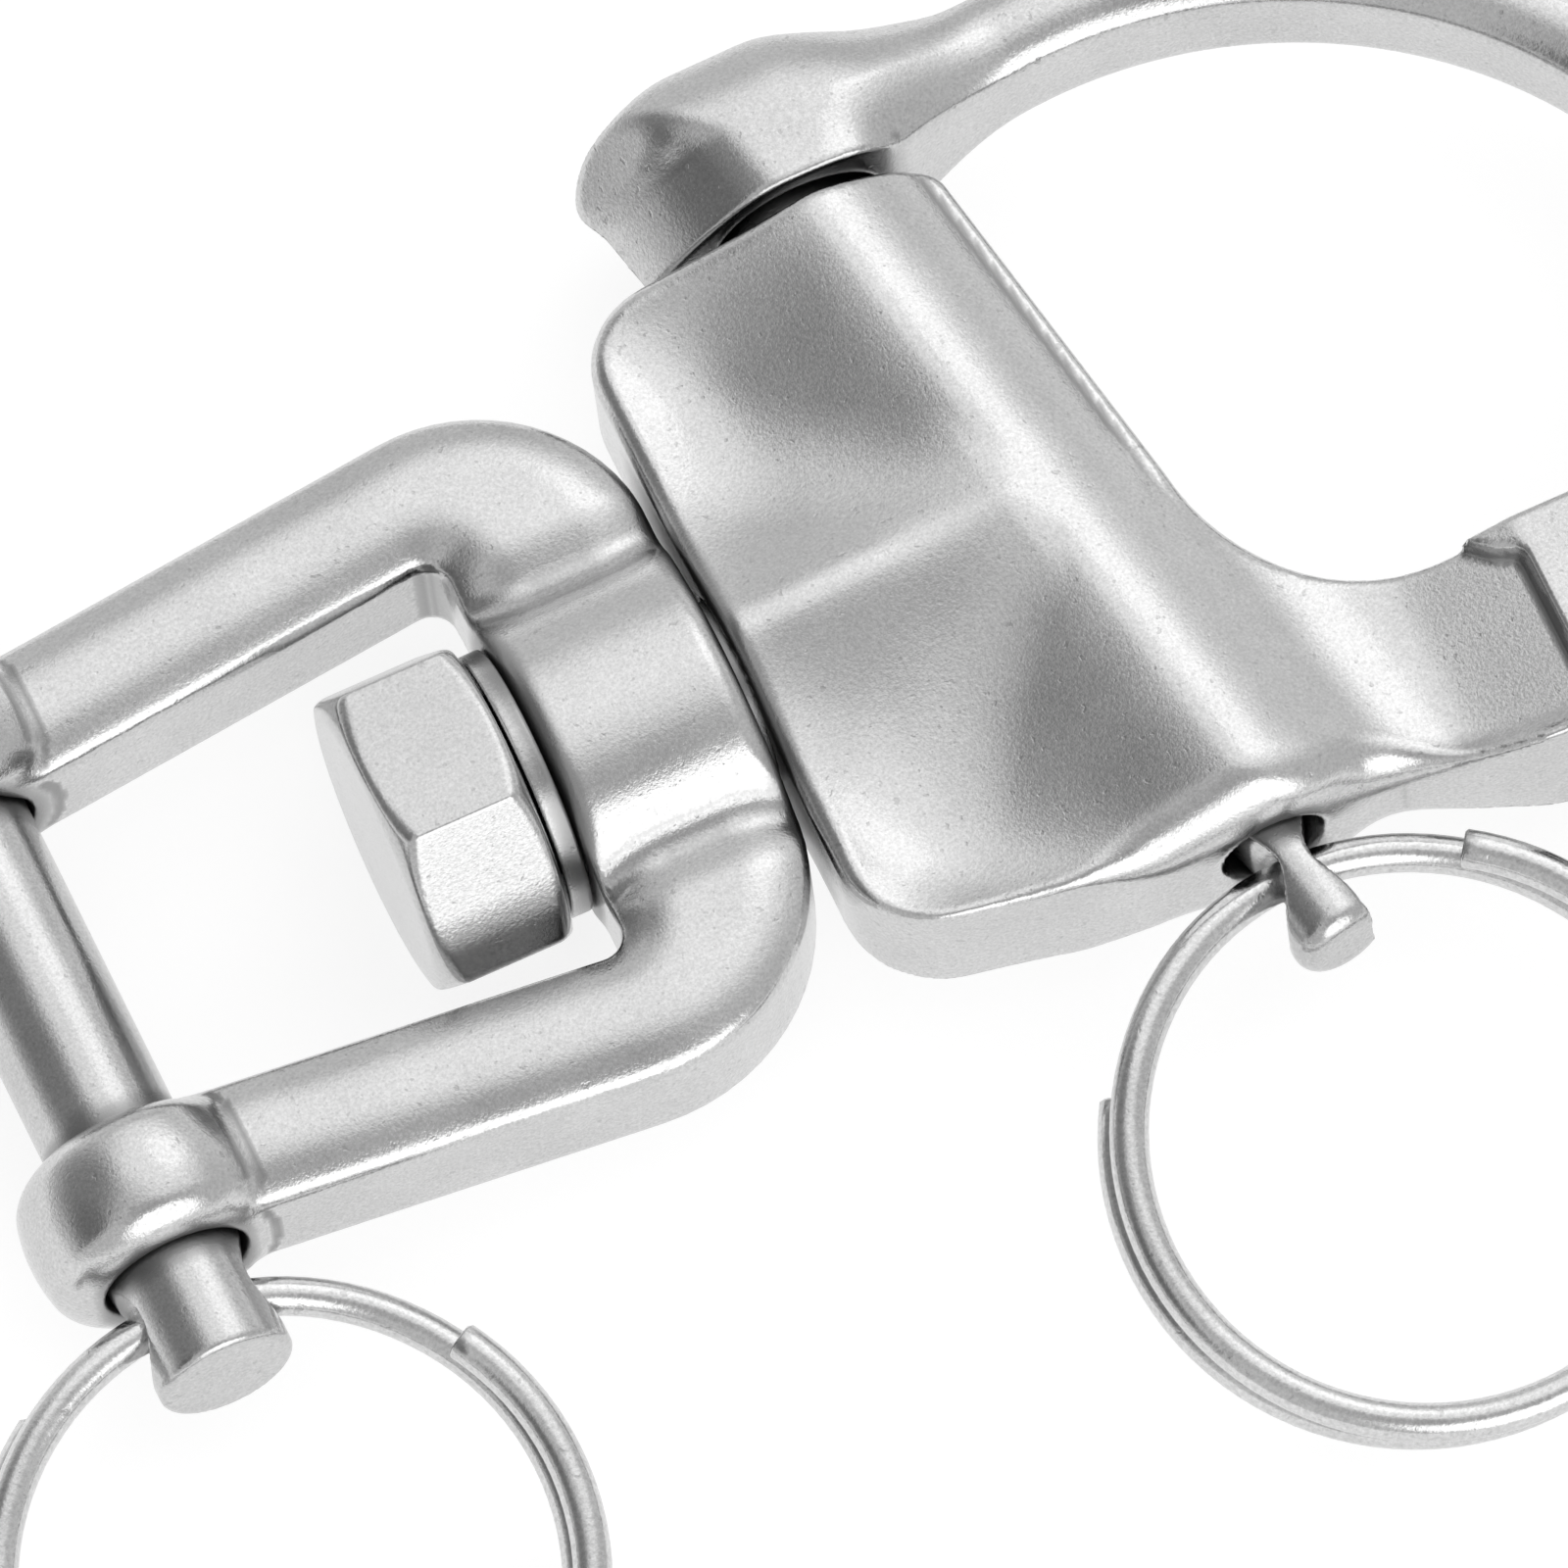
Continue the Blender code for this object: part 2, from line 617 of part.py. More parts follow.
def make_bail():
    outer_r = BAIL_INNER_R + BAIL_WIDTH
    inner = arc(BAIL_CENTRE, BAIL_INNER_R, BAIL_ARC_TO, BAIL_ARC_FROM)
    eye = arc(HINGE.xy, TONGUE_R, math.radians(80), math.radians(285))
    outer = arc(BAIL_CENTRE, outer_r, BAIL_ARC_FROM, BAIL_ARC_TO)
    corner = outer[0] + BAIL_HEEL_RUN * Vector((math.sin(BAIL_ARC_FROM), -math.cos(BAIL_ARC_FROM)))
    heel = rounded([(*eye[-1], 0), (*corner, BAIL_HEEL_R), (*outer[0], 0)])[1:-1]
    middle_r = BAIL_INNER_R + BAIL_WIDTH / 2

    def is_outer(point):
        return (point.xy - BAIL_CENTRE).length > middle_r and (point.xy - HINGE.xy).length > 2 * TONGUE_R

    band = plate("band", inner + eye + heel + outer, BAIL_DEPTH, BAIL_ROUNDING, is_outer)
    latch = plate("latch", latch_outline(), LATCH_DEPTH, LATCH_ROUNDING, lambda p: p.y > LATCH_IN + OVERRUN)
    join(band, latch)
    cut(band, cylinder("tongue hole", RIVET_D + 2 * GAP, 2 * BAIL_DEPTH, HINGE, Z))
    clear = CHEEK_D + 2 * CHEEK_ROOM
    for side, name in ((1, "upper cheek room"), (-1, "lower cheek room")):
        middle = HINGE + Z * side * (TONGUE_DEPTH + BAIL_DEPTH) / 2
        cut(band, cylinder(name, clear, BAIL_DEPTH, middle, Z))
    head = PLUNGER_HEAD_D + 4 * GAP
    hole_start, hole_end = TIP_ALONG - GAP, -BODY_TOP
    hole_middle = BARREL_AT + BARREL_AXIS * (hole_start + hole_end) / 2
    cut(band, cylinder("latch hole", head, hole_end - hole_start, hole_middle, BARREL_AXIS))
    return as_piece(band, "bail", CAST, BAIL_HINGE)


def make_hinge_rivet():
    face = CHEEK_DEPTH / 2 + GAP
    top, head, shank = face + RIVET_HEAD_H, RIVET_HEAD_D / 2, RIVET_D / 2
    dome = head - RIVET_HEAD_H
    upper = [(0, top), (dome, top), (head, face), (shank, face)]
    lower = [(r, -h) for r, h in reversed(upper)]
    return as_piece(turned("hinge_rivet", upper + lower, HINGE, Z), "hinge_rivet", TURNED, ROOT)


def make_plunger():
    head, rod = PLUNGER_HEAD_D / 2, PLUNGER_ROD_D / 2
    nose = head / 2
    profile = [
        (0, TAIL_ALONG),
        (rod - 2 * PIN_CHAMFER, TAIL_ALONG),
        (rod, TAIL_ALONG - 2 * PIN_CHAMFER),
        (rod, SHOULDER_ALONG),
        (head, SHOULDER_ALONG),
        (head, TIP_ALONG + nose / 2),
        (nose, TIP_ALONG),
        (0, TIP_ALONG),
    ]
    plunger = turned("plunger", profile, BARREL_AT, BARREL_AXIS)
    cut(plunger, ring_hole("pull ring hole", PLUNGER_HOLE, PLUNGER_HOLE_D, PLUNGER_ROD_D))
    return as_piece(plunger, "plunger", TURNED, PLUNGER)


def make_plunger_spring():
    """A plain helix round the plunger's rod, from its shoulder to the seat in the barrel."""
    room = (PLUNGER_HEAD_D / 2 + GAP) - PLUNGER_ROD_D / 2
    radius = PLUNGER_ROD_D / 2 + room / 2
    lift = SPRING_LENGTH - SPRING_WIRE_D
    start = SHOULDER_ALONG + GAP + SPRING_WIRE_D / 2
    count = SPRING_TURNS * SPRING_CURL_POINTS
    across = BARREL_AXIS.cross(Z)
    points = []
    for k in range(count + 1):
        angle = 2 * math.pi * k / SPRING_CURL_POINTS
        out = across * math.cos(angle) + Z * math.sin(angle)
        points.append(BARREL_AT + BARREL_AXIS * (start + lift * k / count) + out * radius)
    print_least_gap("plunger_spring", points, SPRING_WIRE_D, SPRING_CURL_POINTS)
    return as_piece(wire("plunger_spring", points, SPRING_WIRE_D), "plunger_spring", SPRING_STEEL, ROOT)


clear_scene()
PARTS = new_collection("snap_shackle")
HELPERS = new_collection("snap_shackle_cutters")
CAST = new_metal("cast_stainless", (0.62, 0.62, 0.61), 0.32)
TURNED = new_metal("turned_stainless", (0.66, 0.66, 0.65), 0.26)
SPRING_STEEL = new_metal("spring_stainless", (0.68, 0.68, 0.67), 0.2)

ROOT = new_empty("shackle", SWIVEL_AT)
SWIVEL = new_empty("jaw_swivel", Vector(), ROOT)
CLEVIS = new_empty("clevis_pin_turn", Vector((PIN_X, 0, 0)), SWIVEL)
CLEVIS_SWING = new_empty("clevis_ring_swing", CLEVIS_HOLE, CLEVIS)
BAIL_HINGE = new_empty("bail_hinge", HINGE, ROOT)
PLUNGER = new_empty("plunger_slide", BARREL_AT, ROOT)
PULL_SWING = new_empty("pull_ring_swing", PLUNGER_HOLE, PLUNGER)

make_body()
make_swivel_bolt()
make_head_washer()
make_jaw()
make_clevis_pin()
make_ring("clevis_ring", CLEVIS_HOLE, CLEVIS_RING_YAW, CLEVIS_RING_FED, CLEVIS_SWING)
make_bail()
make_hinge_rivet()
make_plunger()
make_plunger_spring()
make_ring("pull_ring", PLUNGER_HOLE, PULL_RING_YAW, PULL_RING_FED, PULL_SWING)
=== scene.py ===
import json
import math

import bpy
import numpy as np
from mathutils import Matrix, Vector


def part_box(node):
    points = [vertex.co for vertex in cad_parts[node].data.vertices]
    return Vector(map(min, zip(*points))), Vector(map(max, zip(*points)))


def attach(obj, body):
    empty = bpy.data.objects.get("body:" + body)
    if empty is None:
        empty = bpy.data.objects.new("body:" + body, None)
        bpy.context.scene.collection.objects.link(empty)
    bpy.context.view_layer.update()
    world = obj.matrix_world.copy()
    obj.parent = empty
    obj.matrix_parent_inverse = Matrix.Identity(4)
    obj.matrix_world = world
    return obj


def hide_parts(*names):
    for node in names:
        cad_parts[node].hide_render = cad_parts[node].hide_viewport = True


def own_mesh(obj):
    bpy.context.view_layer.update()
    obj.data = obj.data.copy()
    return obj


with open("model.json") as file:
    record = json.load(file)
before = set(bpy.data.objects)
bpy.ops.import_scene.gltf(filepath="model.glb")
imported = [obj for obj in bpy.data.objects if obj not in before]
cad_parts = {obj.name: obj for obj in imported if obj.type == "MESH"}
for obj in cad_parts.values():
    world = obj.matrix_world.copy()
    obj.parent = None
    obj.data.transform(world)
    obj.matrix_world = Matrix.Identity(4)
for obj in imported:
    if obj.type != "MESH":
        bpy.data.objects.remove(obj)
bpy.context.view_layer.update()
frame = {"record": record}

# A swivelling snap shackle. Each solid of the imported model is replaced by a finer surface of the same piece.
# A cast or turned piece is the surface where a field is zero. The field is about the distance to that
# surface, negative inside the piece. The split rings and the spring are swept wires.
#
# The shackle's own frame is in millimetres. Its origin is where the swivel axis meets the jaw's face. X runs
# along that axis from the jaw to the bail, Y across the body to the bail's free end, and Z is square to the
# flat side.
MM = 0.001
JOINTS = {joint["name"]: joint for joint in frame["record"]["behaviour"]["joints"]}
ORIGIN = Vector(JOINTS["jaw_swivel"]["pos_m"])
CELL = 0.22  # spacing of the grid that a cast surface is found on
BOLT_CELL = 0.18  # the same for the turned pieces
PIN_CELL = 0.16
WASHER_CELL = 0.12
PAINTED_SHADE_BEND = (-0.35, -1.6)  # curvature of a crease where painted shade starts, and where it is full
PAINTED_SHADE_GAP = (1.3, 0.3)  # the same painted shade, for the gap to another piece
HAIR_R, FINE_R, SMALL_R, EDGE_R, LARGE_R = 0.1, 0.15, 0.2, 0.25, 0.3  # radii that edges are eased to
GAP = 0.3  # between pieces that fit loosely
BORE_GAP = 0.2  # round a pin, a bolt or the plunger's head
RIVET_GAP = 0.15
ROD_GAP = 0.1
OVERLAP = 1.0  # how far a shank runs into its head


def place_of(joint):
    """A joint's place in the shackle's frame."""
    return (Vector(JOINTS[joint]["pos_m"]) - ORIGIN) / MM


# Jaw
PIN = place_of("clevis_pin_turn")
EAR_IN = 7.9
EAR_LENGTH = 6.1
EAR_R = 5.4
EAR_BULGE = 0.07  # how fast the ear narrows away from its middle
EAR_ROUNDING = 1.3
LEG_SETBACK = -0.45
LEG_SPLAY = math.radians(6.0)
LEG_WIDTH = 5.96
LEG_DEPTH = 6.8
LEG_END_X = PIN.x - 1.0  # inside the ears
OPENING_END_X = PIN.x - 9.0  # past the ears
JAW_FACE_X = -0.35
CROWN_INNER_X = -9.1
CROWN_UPPER_R = 8.0
CROWN_LOWER_R = 9.2
CROWN_INNER_R = 1.1
HUB_R = 5.6
HUB_FLATNESS = 0.79  # height of the hub's section over its width
HUB_FILLET = 0.9
HUB_VALLEY = (0.8, 5.8, 9.3)  # how far the crown dips beside the hub, and from where to where it rises again
HUB_VALLEY_X = (-14.0, -9.0)  # from where to where along the legs the dip starts
HUB_EDGE_R = (0.7, 0.6)  # how much rounder the hub's edges are, towards the body and inside the fork
HUB_EDGE_Z = (2.7, 4.5)  # from what height to what height they become so
JAW_CROWN = (2.9, 0.95)  # width and rise of the rounding from the jaw's flank to its top
EAR_FILLET = 0.4

# Body
BODY_TOP = 17.2
BODY_FOOT = 16.38  # leaves the pull ring room at the end of its swing
BODY_EDGE_X = 0.0
PLATE_DEPTH = 6.4
DISH_DEPTH = 0.95
DISH_LAND = 0.8  # width of the flat rim round the dishes
DISH_RUN = (4.7, 1.8)  # from the rim to the dish's floor, beside the barrel and on the arm
DISH_FOOT = (14.0, 0.15)  # how far down the dishes' lower rim lies, and how much further for each step in X
POCKET_END = (31.6, -9.7, 1.0)  # X and Y of the hollow's corner on the arm, and its radius
POCKET_WALL = 0.45
POCKET_RIM = (2.2, 0.6, 3.6)  # how far its upper rim climbs, and from where to where before the corner
POCKET_OPEN = (40.0, 27.0, 18.0)  # how far that rim is moved off towards the barrel, and from where to where
ARM_X = (18.0, 27.0)  # from where to where the barrel passes into the arm
SWELL_X = (26.0, 31.6)  # from where to where the arm thickens to the cheeks
SWELL_BEND = 0.12  # how gently that starts
SHOULDER_R = 3.6
NOSE_R = 1.6
HEEL_Y = 14.0
HEEL_R = 4.5
FOOT_R = 8.0
THROAT_R = 9.5
RIDGE_TOP = 5.2
RIDGE_FALL = (0.45, 0.8)  # steepness of the ridge's sides, and how wide its crest is rounded
RIDGE_LEAN = (0.4, 0.04)  # where the ridge starts, and how much it leans towards the bail for each step in X
RIDGE_SINK = (0.5, 5.0, 15.0)  # how far the ridge sinks towards the barrel, and from where to where
RIDGE_END = (3.0, -1.5, 3.0)  # the same for its end, measured across the barrel
RIDGE_BLEND = 2.2  # reach of the sweep from the ridge into the barrel
BARREL_AT = Vector((14.3, 0, 0))
BARREL_AXIS = Vector(JOINTS["plunger_slide"]["axis"])
BARREL_ACROSS = BARREL_AXIS.cross(Vector((0, 0, -1)))
BARREL_WIDTH = 10.5
BARREL_DEPTH = 10.7
BARREL_EDGE = 0.1
BARREL_CREST = 1.5  # where the crest starts to fall towards the jaw
BARREL_FALL = (0.5, 5.0)  # steepness of that side, and how wide its crest is rounded
BARREL_CHAMFER = 5.45  # from the axis to the slanting flat between the crest and the bail's side
BARREL_CHAMFER_R = 2.2
BARREL_BLEND = 2.4  # reach of the sweep from the barrel into the plate
RIM_HEIGHT = 3.1  # of the thin rim beside the slanting flat
RIM_BLEND = 0.2  # reach of the sweep from the flat into that rim
RIM_ACROSS = (0.0, 3.0)  # from where to where across the barrel the rim starts
RIM_Y = (-7.0, 1.0)  # the same along the body
FOOT_ROUNDING = 2.0  # of the barrel's end over the plunger's tail
FOOT_Y = (-10.5, -14.0)  # from where to where the end becomes so round
FOOT_ACROSS = (9.0, 4.0)  # the same across the barrel
BODY_EDGE_R = 0.4
PLATE_EDGE_R = 0.4  # how much rounder the edges are on the swivel's side of the barrel
PLATE_EDGE_ACROSS = (1.0, -3.0)  # from where to where across the barrel they become so
PLATE_EDGE_Y = (-13.5, -9.0)  # the same along the body
HINGE = place_of("bail_hinge")
ARM_RISE = 4.7
ARM_DROP = 4.4
ARM_BELLY = (29.5, -18.4)
CHEEK_R = 5.5
CHEEK_DEPTH = 8.6
CHEEK_EDGE_R = 0.6
CHEEK_ROOM = 0.9
SLOT_X = HINGE.x - 7.0

# Bail
BAIL_CENTRE = Vector((24.2, -1.5))
BAIL_INNER_R = 21.3
BAIL_WIDTH = 4.24
BAIL_DEPTH = 5.8
BAIL_CROWN = (2.1, 0.9)  # width and rise of the rounding from the bail's flank to its top
BAIL_ARC = (math.radians(-25), math.radians(112))  # of its inner edge, from the heel to the latching end
BAIL_OUTER_END = math.radians(100)  # where its outer edge passes into the latching end
BAIL_EYE_ARC = (math.radians(80), math.radians(285))
BAIL_HEEL_RUN = 4.0
BAIL_HEEL_R = 5.0
TONGUE_DEPTH = 4.0
TONGUE_R = 4.8
LATCH_IN = 18.1
LATCH_DEPTH = 10.0
LATCH_CROWN = (3.8, 1.35)
LATCH_X = (22.0, 14.0)  # from where to where the bail thickens to its latching end
LATCH_SLOPE = (5.3, 0.75)  # X where the slope up from the latching end's nose starts, and its steepness
LATCH_LIFT = (1.2, 21.0, 24.0)  # how much higher that slope is at the outer edge, and from where to where
LATCH_END = (2.65, 24.1, 0.17)  # X and Y of the latching end's corner, and its lean for each step in Y
LATCH_NOSE = math.radians(43)  # slant of the two faces that meet in the latching end's nose
LATCH_BLEND = 1.0  # reach of the sweep from the slope to the top
LATCH_CORNERS = [  # X, Y and radius of its outer corners
    (16.4, LATCH_IN + 5.9, 8.0),
    (12.6, LATCH_IN + 7.33, 5.0),
    (8.0, LATCH_IN + 7.25, 6.0),
    (*LATCH_END[:2], 2.2),
]
LATCH_HEEL_R = 1.3
LATCH_HOLE_GAP = 0.6  # round the plunger's head
LATCH_INSET = 8.0  # how far its inner edge is moved away, so that its top isn't rounded towards that edge
NECK_X = 15.4  # where the flat inner edge ends
NECK_R = 6.0  # of the outer edge, where it passes into the latching end
NECK_STEPS = 4  # points of the outer edge that this rounding takes up

# Turned pieces
CLEVIS_PIN_R = 3.0
CLEVIS_HOLE = place_of("clevis_ring_swing")
CLEVIS_HOLE_R = 1.6
CLEVIS_END_Y = -19.1
CLEVIS_END_R = 0.35
CLEVIS_MOUTH_R = 1.4  # of the round that the ring's hole flares out in
CLEVIS_STRAIGHT = 1.85  # half the length of the hole's straight part
CLEVIS_HEAD_R = 4.5
CLEVIS_HEAD_H = 2.0
CLEVIS_HEAD_EDGE_R = 0.4
BOLT_R = 4.0
BOLT_END_X = 8.8
HEX_FLAT = 6.5
HEX_TURN = math.radians(4.3)
HEX_X = (-16.5, -10.3)
HEX_CHAMFER = (0.15, math.radians(30))  # how far inside the flats the chamfer starts, and its slant
HEX_CHAMFER_R = 0.35
WASHER_X = (-10.2, -9.2)
WASHER_R = 5.9
PLUNGER_HEAD_R = 3.2
PLUNGER_ROD_R = 2.15
PLUNGER_HOLE = place_of("pull_ring_swing")
PLUNGER_HOLE_R = 1.8
PLUNGER_MOUTH_R = 1.7
PLUNGER_REACH = 4.0  # how far its nose stands out of the body
PLUNGER_TAIL_Y = -21.7
PLUNGER_TAIL_R = 0.9
PLUNGER_CHAMFER = 0.9
PLUNGER_HEAD_LENGTH = 17.5
PLUNGER_TIP = (BODY_TOP + PLUNGER_REACH) / BARREL_AXIS.y  # this and the next two are along the barrel's axis
PLUNGER_TAIL = PLUNGER_TAIL_Y / BARREL_AXIS.y
PLUNGER_SHOULDER = PLUNGER_TIP + PLUNGER_HEAD_LENGTH
RIVET_R = 2.0
RIVET_HEAD_R = 3.3
RIVET_HEAD_H = 0.8
RIVET_UNDER = CHEEK_DEPTH / 2 + 0.1  # height of the flat under its head
RIVET_DOME = 1.15  # height of the dome over that of the head
RIVET_OVERLAP = 0.3
SPRING_WIRE_R = 0.3
SPRING_WIRE_SIDES = 12
SPRING_LENGTH = 15.0
SPRING_TURNS = 8
SPRING_SEAT = PLUNGER_SHOULDER + SPRING_LENGTH + 2 * GAP

# Split rings
RING_D = 26.15
RING_WIRE_R = 0.825
RING_LAYER = 1.72
RING_TURNS = 1.75
RING_REST = ORIGIN.z / MM - RING_LAYER / 2 - RING_WIRE_R  # fall from the hole to where the ring lies
RING_SHIFT = Vector((0.36, -0.26))  # of the upper layer from the lower one
CLEVIS_RING_YAW = math.radians(-6)
CLEVIS_RING_FED = math.radians(38)
PULL_RING_YAW = 0.0
PULL_RING_FED = math.radians(58)


def corner(a, b, radius):
    """What two solids share, with the edge where their surfaces meet rounded to a radius."""
    a, b = a + radius, b + radius
    return np.minimum(np.maximum(a, b), 0) + np.hypot(np.maximum(a, 0), np.maximum(b, 0)) - radius


def fillet(a, b, radius):
    """Two solids joined, with the crease where they meet filled to a radius."""
    return -corner(-a, -b, radius)


def smooth_union(a, b, reach):
    """Two solids joined in one sweep, which begins where their fields come within the reach of each other."""
    share = np.maximum(reach - np.abs(a - b), 0) / reach
    return np.minimum(a, b) - share * share * reach / 4


def smooth_step(value, start, end):
    """0 before start and 1 after end, with a smooth rise between them."""
    share = np.clip((value - start) / (end - start), 0, 1)
    return share * share * (3 - 2 * share)


def rounded(corners, step=math.radians(6), straight=math.radians(1), most=0.98):
    """An outline's points, from its corners (x, y, radius) in order. Radius 0 keeps a corner sharp."""
    points = []
    for i, (x, y, radius) in enumerate(corners):
        here = Vector((x, y))
        before = Vector(corners[i - 1][:2]) - here
        after = Vector(corners[(i + 1) % len(corners)][:2]) - here
        half = before.angle(after) / 2
        turn = math.pi - 2 * half
        if radius == 0 or turn < straight:
            points.append(here)
            continue
        run = min(radius / math.tan(half), min(before.length, after.length) * most)
        radius = run * math.tan(half)
        centre = here + (before.normalized() + after.normalized()).normalized() * radius / math.sin(half)
        start = here + before.normalized() * run - centre
        way = -math.copysign(1, before.cross(after))
        steps = max(2, math.ceil(turn / step))
        points += [centre + Matrix.Rotation(way * turn * k / steps, 2) @ start for k in range(steps + 1)]
    return points


def arc(centre, radius, start, end, step=math.radians(2)):
    """Points along an arc, from one angle to another."""
    steps = max(2, math.ceil(abs(end - start) / step))
    angles = [start + (end - start) * k / steps for k in range(steps + 1)]
    return [centre + radius * Vector((math.cos(a), math.sin(a))) for a in angles]


def outline_distance(points, x, y):
    """Signed distance in the XY plane to a closed outline, negative inside it."""
    nearest, inside = np.inf, False
    for i, b in enumerate(points):
        a = points[i - 1]
        ex, ey = b.x - a.x, b.y - a.y
        px, py = x - a.x, y - a.y
        share = np.clip((px * ex + py * ey) / max(ex * ex + ey * ey, 1e-12), 0, 1)
        nearest = np.minimum(nearest, (px - share * ex) ** 2 + (py - share * ey) ** 2)
        if ey != 0:
            inside = inside ^ (((a.y > y) != (b.y > y)) & (px < ex * py / ey))
    return np.where(inside, -1, 1) * np.sqrt(nearest)


def crown(flank, z, half, width, rise):
    """A plate's two faces, which fall towards its flank in an arc of a width and a rise."""
    radius = (width * width + rise * rise) / (2 * rise)
    return np.hypot(np.maximum(width + flank, 0), np.abs(z) - half + radius) - radius


def ring_hole(along_hole, across, throat, mouth, straight=0.0):
    """How far a point is inside a hole whose mouths flare out in a round of the given radius."""
    flare = np.maximum(np.abs(along_hole) - straight, 0)
    beyond = across - throat - mouth
    return np.hypot(np.minimum(beyond, 0), flare) - mouth - np.maximum(beyond, 0)


def tent(across, steepness, width):
    """How far a ridge's side lies below its crest, which is rounded to a width."""
    return steepness * (np.hypot(across, width) - width)


def jaw_leg_y(x, width=0.0):
    """Where a leg's inner flank is at a place along the jaw, or its outer flank, with the leg's width."""
    return EAR_IN + LEG_SETBACK + (x - PIN.x) * math.tan(LEG_SPLAY) + width


def jaw_outlines():
    """The fork seen square to its flat side, and the opening between its legs."""
    outer, leg_outer = jaw_leg_y(JAW_FACE_X, LEG_WIDTH), jaw_leg_y(LEG_END_X, LEG_WIDTH)
    inner, mouth = jaw_leg_y(CROWN_INNER_X), jaw_leg_y(OPENING_END_X)
    fork = rounded(
        [
            (LEG_END_X, leg_outer, 0),
            (LEG_END_X, -leg_outer, 0),
            (JAW_FACE_X, -outer, CROWN_LOWER_R),
            (JAW_FACE_X, outer, CROWN_UPPER_R),
        ]
    )
    opening = rounded(
        [
            (OPENING_END_X, mouth, 0),
            (OPENING_END_X, -mouth, 0),
            (CROWN_INNER_X, -inner, CROWN_INNER_R),
            (CROWN_INNER_X, inner, CROWN_INNER_R),
        ]
    )
    return fork, opening


FORK, FORK_OPENING = jaw_outlines()


def jaw(x, y, z):
    """The cast fork: two legs, the hub round the bolt's hole, and two ears with the pin's holes."""
    flank, inner = outline_distance(FORK, x, y), -outline_distance(FORK_OPENING, x, y)
    across_swivel = np.hypot(y, z)
    hub = np.hypot(y * HUB_FLATNESS, z) - HUB_R
    dip, low, high = HUB_VALLEY
    half = LEG_DEPTH / 2 - dip * smooth_step(np.abs(y), high, low) * smooth_step(x, *HUB_VALLEY_X)
    legs = crown(np.maximum(flank, inner), z, half, *JAW_CROWN)
    solid = fillet(legs, hub, HUB_FILLET)
    for side, rounder in zip((flank, inner), HUB_EDGE_R):
        solid = corner(solid, side, LARGE_R + rounder * smooth_step(np.abs(z), *HUB_EDGE_Z))
    across_pin = np.hypot(x - PIN.x, z)
    from_ear = np.abs(np.abs(y) - EAR_IN - EAR_LENGTH / 2)
    ear = corner(across_pin - EAR_R + EAR_BULGE * from_ear**2, from_ear - EAR_LENGTH / 2, EAR_ROUNDING)
    solid = fillet(solid, ear, EAR_FILLET)
    solid = corner(solid, CLEVIS_PIN_R + BORE_GAP - across_pin, LARGE_R)
    return corner(solid, BOLT_R + BORE_GAP - across_swivel, SMALL_R)


def body_outline():
    """The body seen square to its flat side, without the round cheeks of the hinge."""
    edge = (BARREL_WIDTH / 2 + BARREL_EDGE) / -BARREL_AXIS.y
    arm_top = HINGE.y + ARM_RISE

    def barrel_x(y):
        """Where the barrel's axis is."""
        return BARREL_AT.x + y * BARREL_AXIS.x / BARREL_AXIS.y

    return rounded(
        [
            (BODY_EDGE_X, -HEEL_Y, HEEL_R),
            (barrel_x(-BODY_FOOT) - edge, -BODY_FOOT, FOOT_R),
            (barrel_x(-BODY_FOOT) + edge, -BODY_FOOT, FOOT_R),
            (*ARM_BELLY, FOOT_R),
            (HINGE.x, HINGE.y - ARM_DROP, 0),
            (HINGE.x, arm_top, 0),
            (barrel_x(arm_top) + edge, arm_top, THROAT_R),
            (barrel_x(BODY_TOP) + edge, BODY_TOP, NOSE_R),
            (BODY_EDGE_X, BODY_TOP, SHOULDER_R),
        ]
    )


BODY = body_outline()


def along_barrel(x, y):
    """A point's distance along the barrel's axis and across it, in the XY plane."""
    x = x - BARREL_AT.x
    return x * BARREL_AXIS.x + y * BARREL_AXIS.y, x * BARREL_ACROSS.x + y * BARREL_ACROSS.y


def dish(x, y, arm):
    """How deep the body's flat sides are hollowed. On the arm the hollow ends in a wall."""
    run = DISH_RUN[0] + (DISH_RUN[1] - DISH_RUN[0]) * arm
    low, lean = DISH_FOOT
    from_rims = (x - BODY_EDGE_X - DISH_LAND, BODY_TOP - DISH_LAND - y, y + low + lean * x)
    end, top, radius = POCKET_END
    climb, near, far = POCKET_RIM
    upper = y - top - climb * smooth_step(x, end - near, end - far)
    climb, near, far = POCKET_OPEN
    upper = upper - climb * smooth_step(x, near, far)
    pocket = corner(x - end, upper, radius)
    depth = DISH_DEPTH * smooth_step(pocket, 0.0, -POCKET_WALL)
    for from_rim in from_rims:
        depth = depth * (1 - (1 - np.clip(from_rim / run, 0, 1)) ** 2)
    return depth


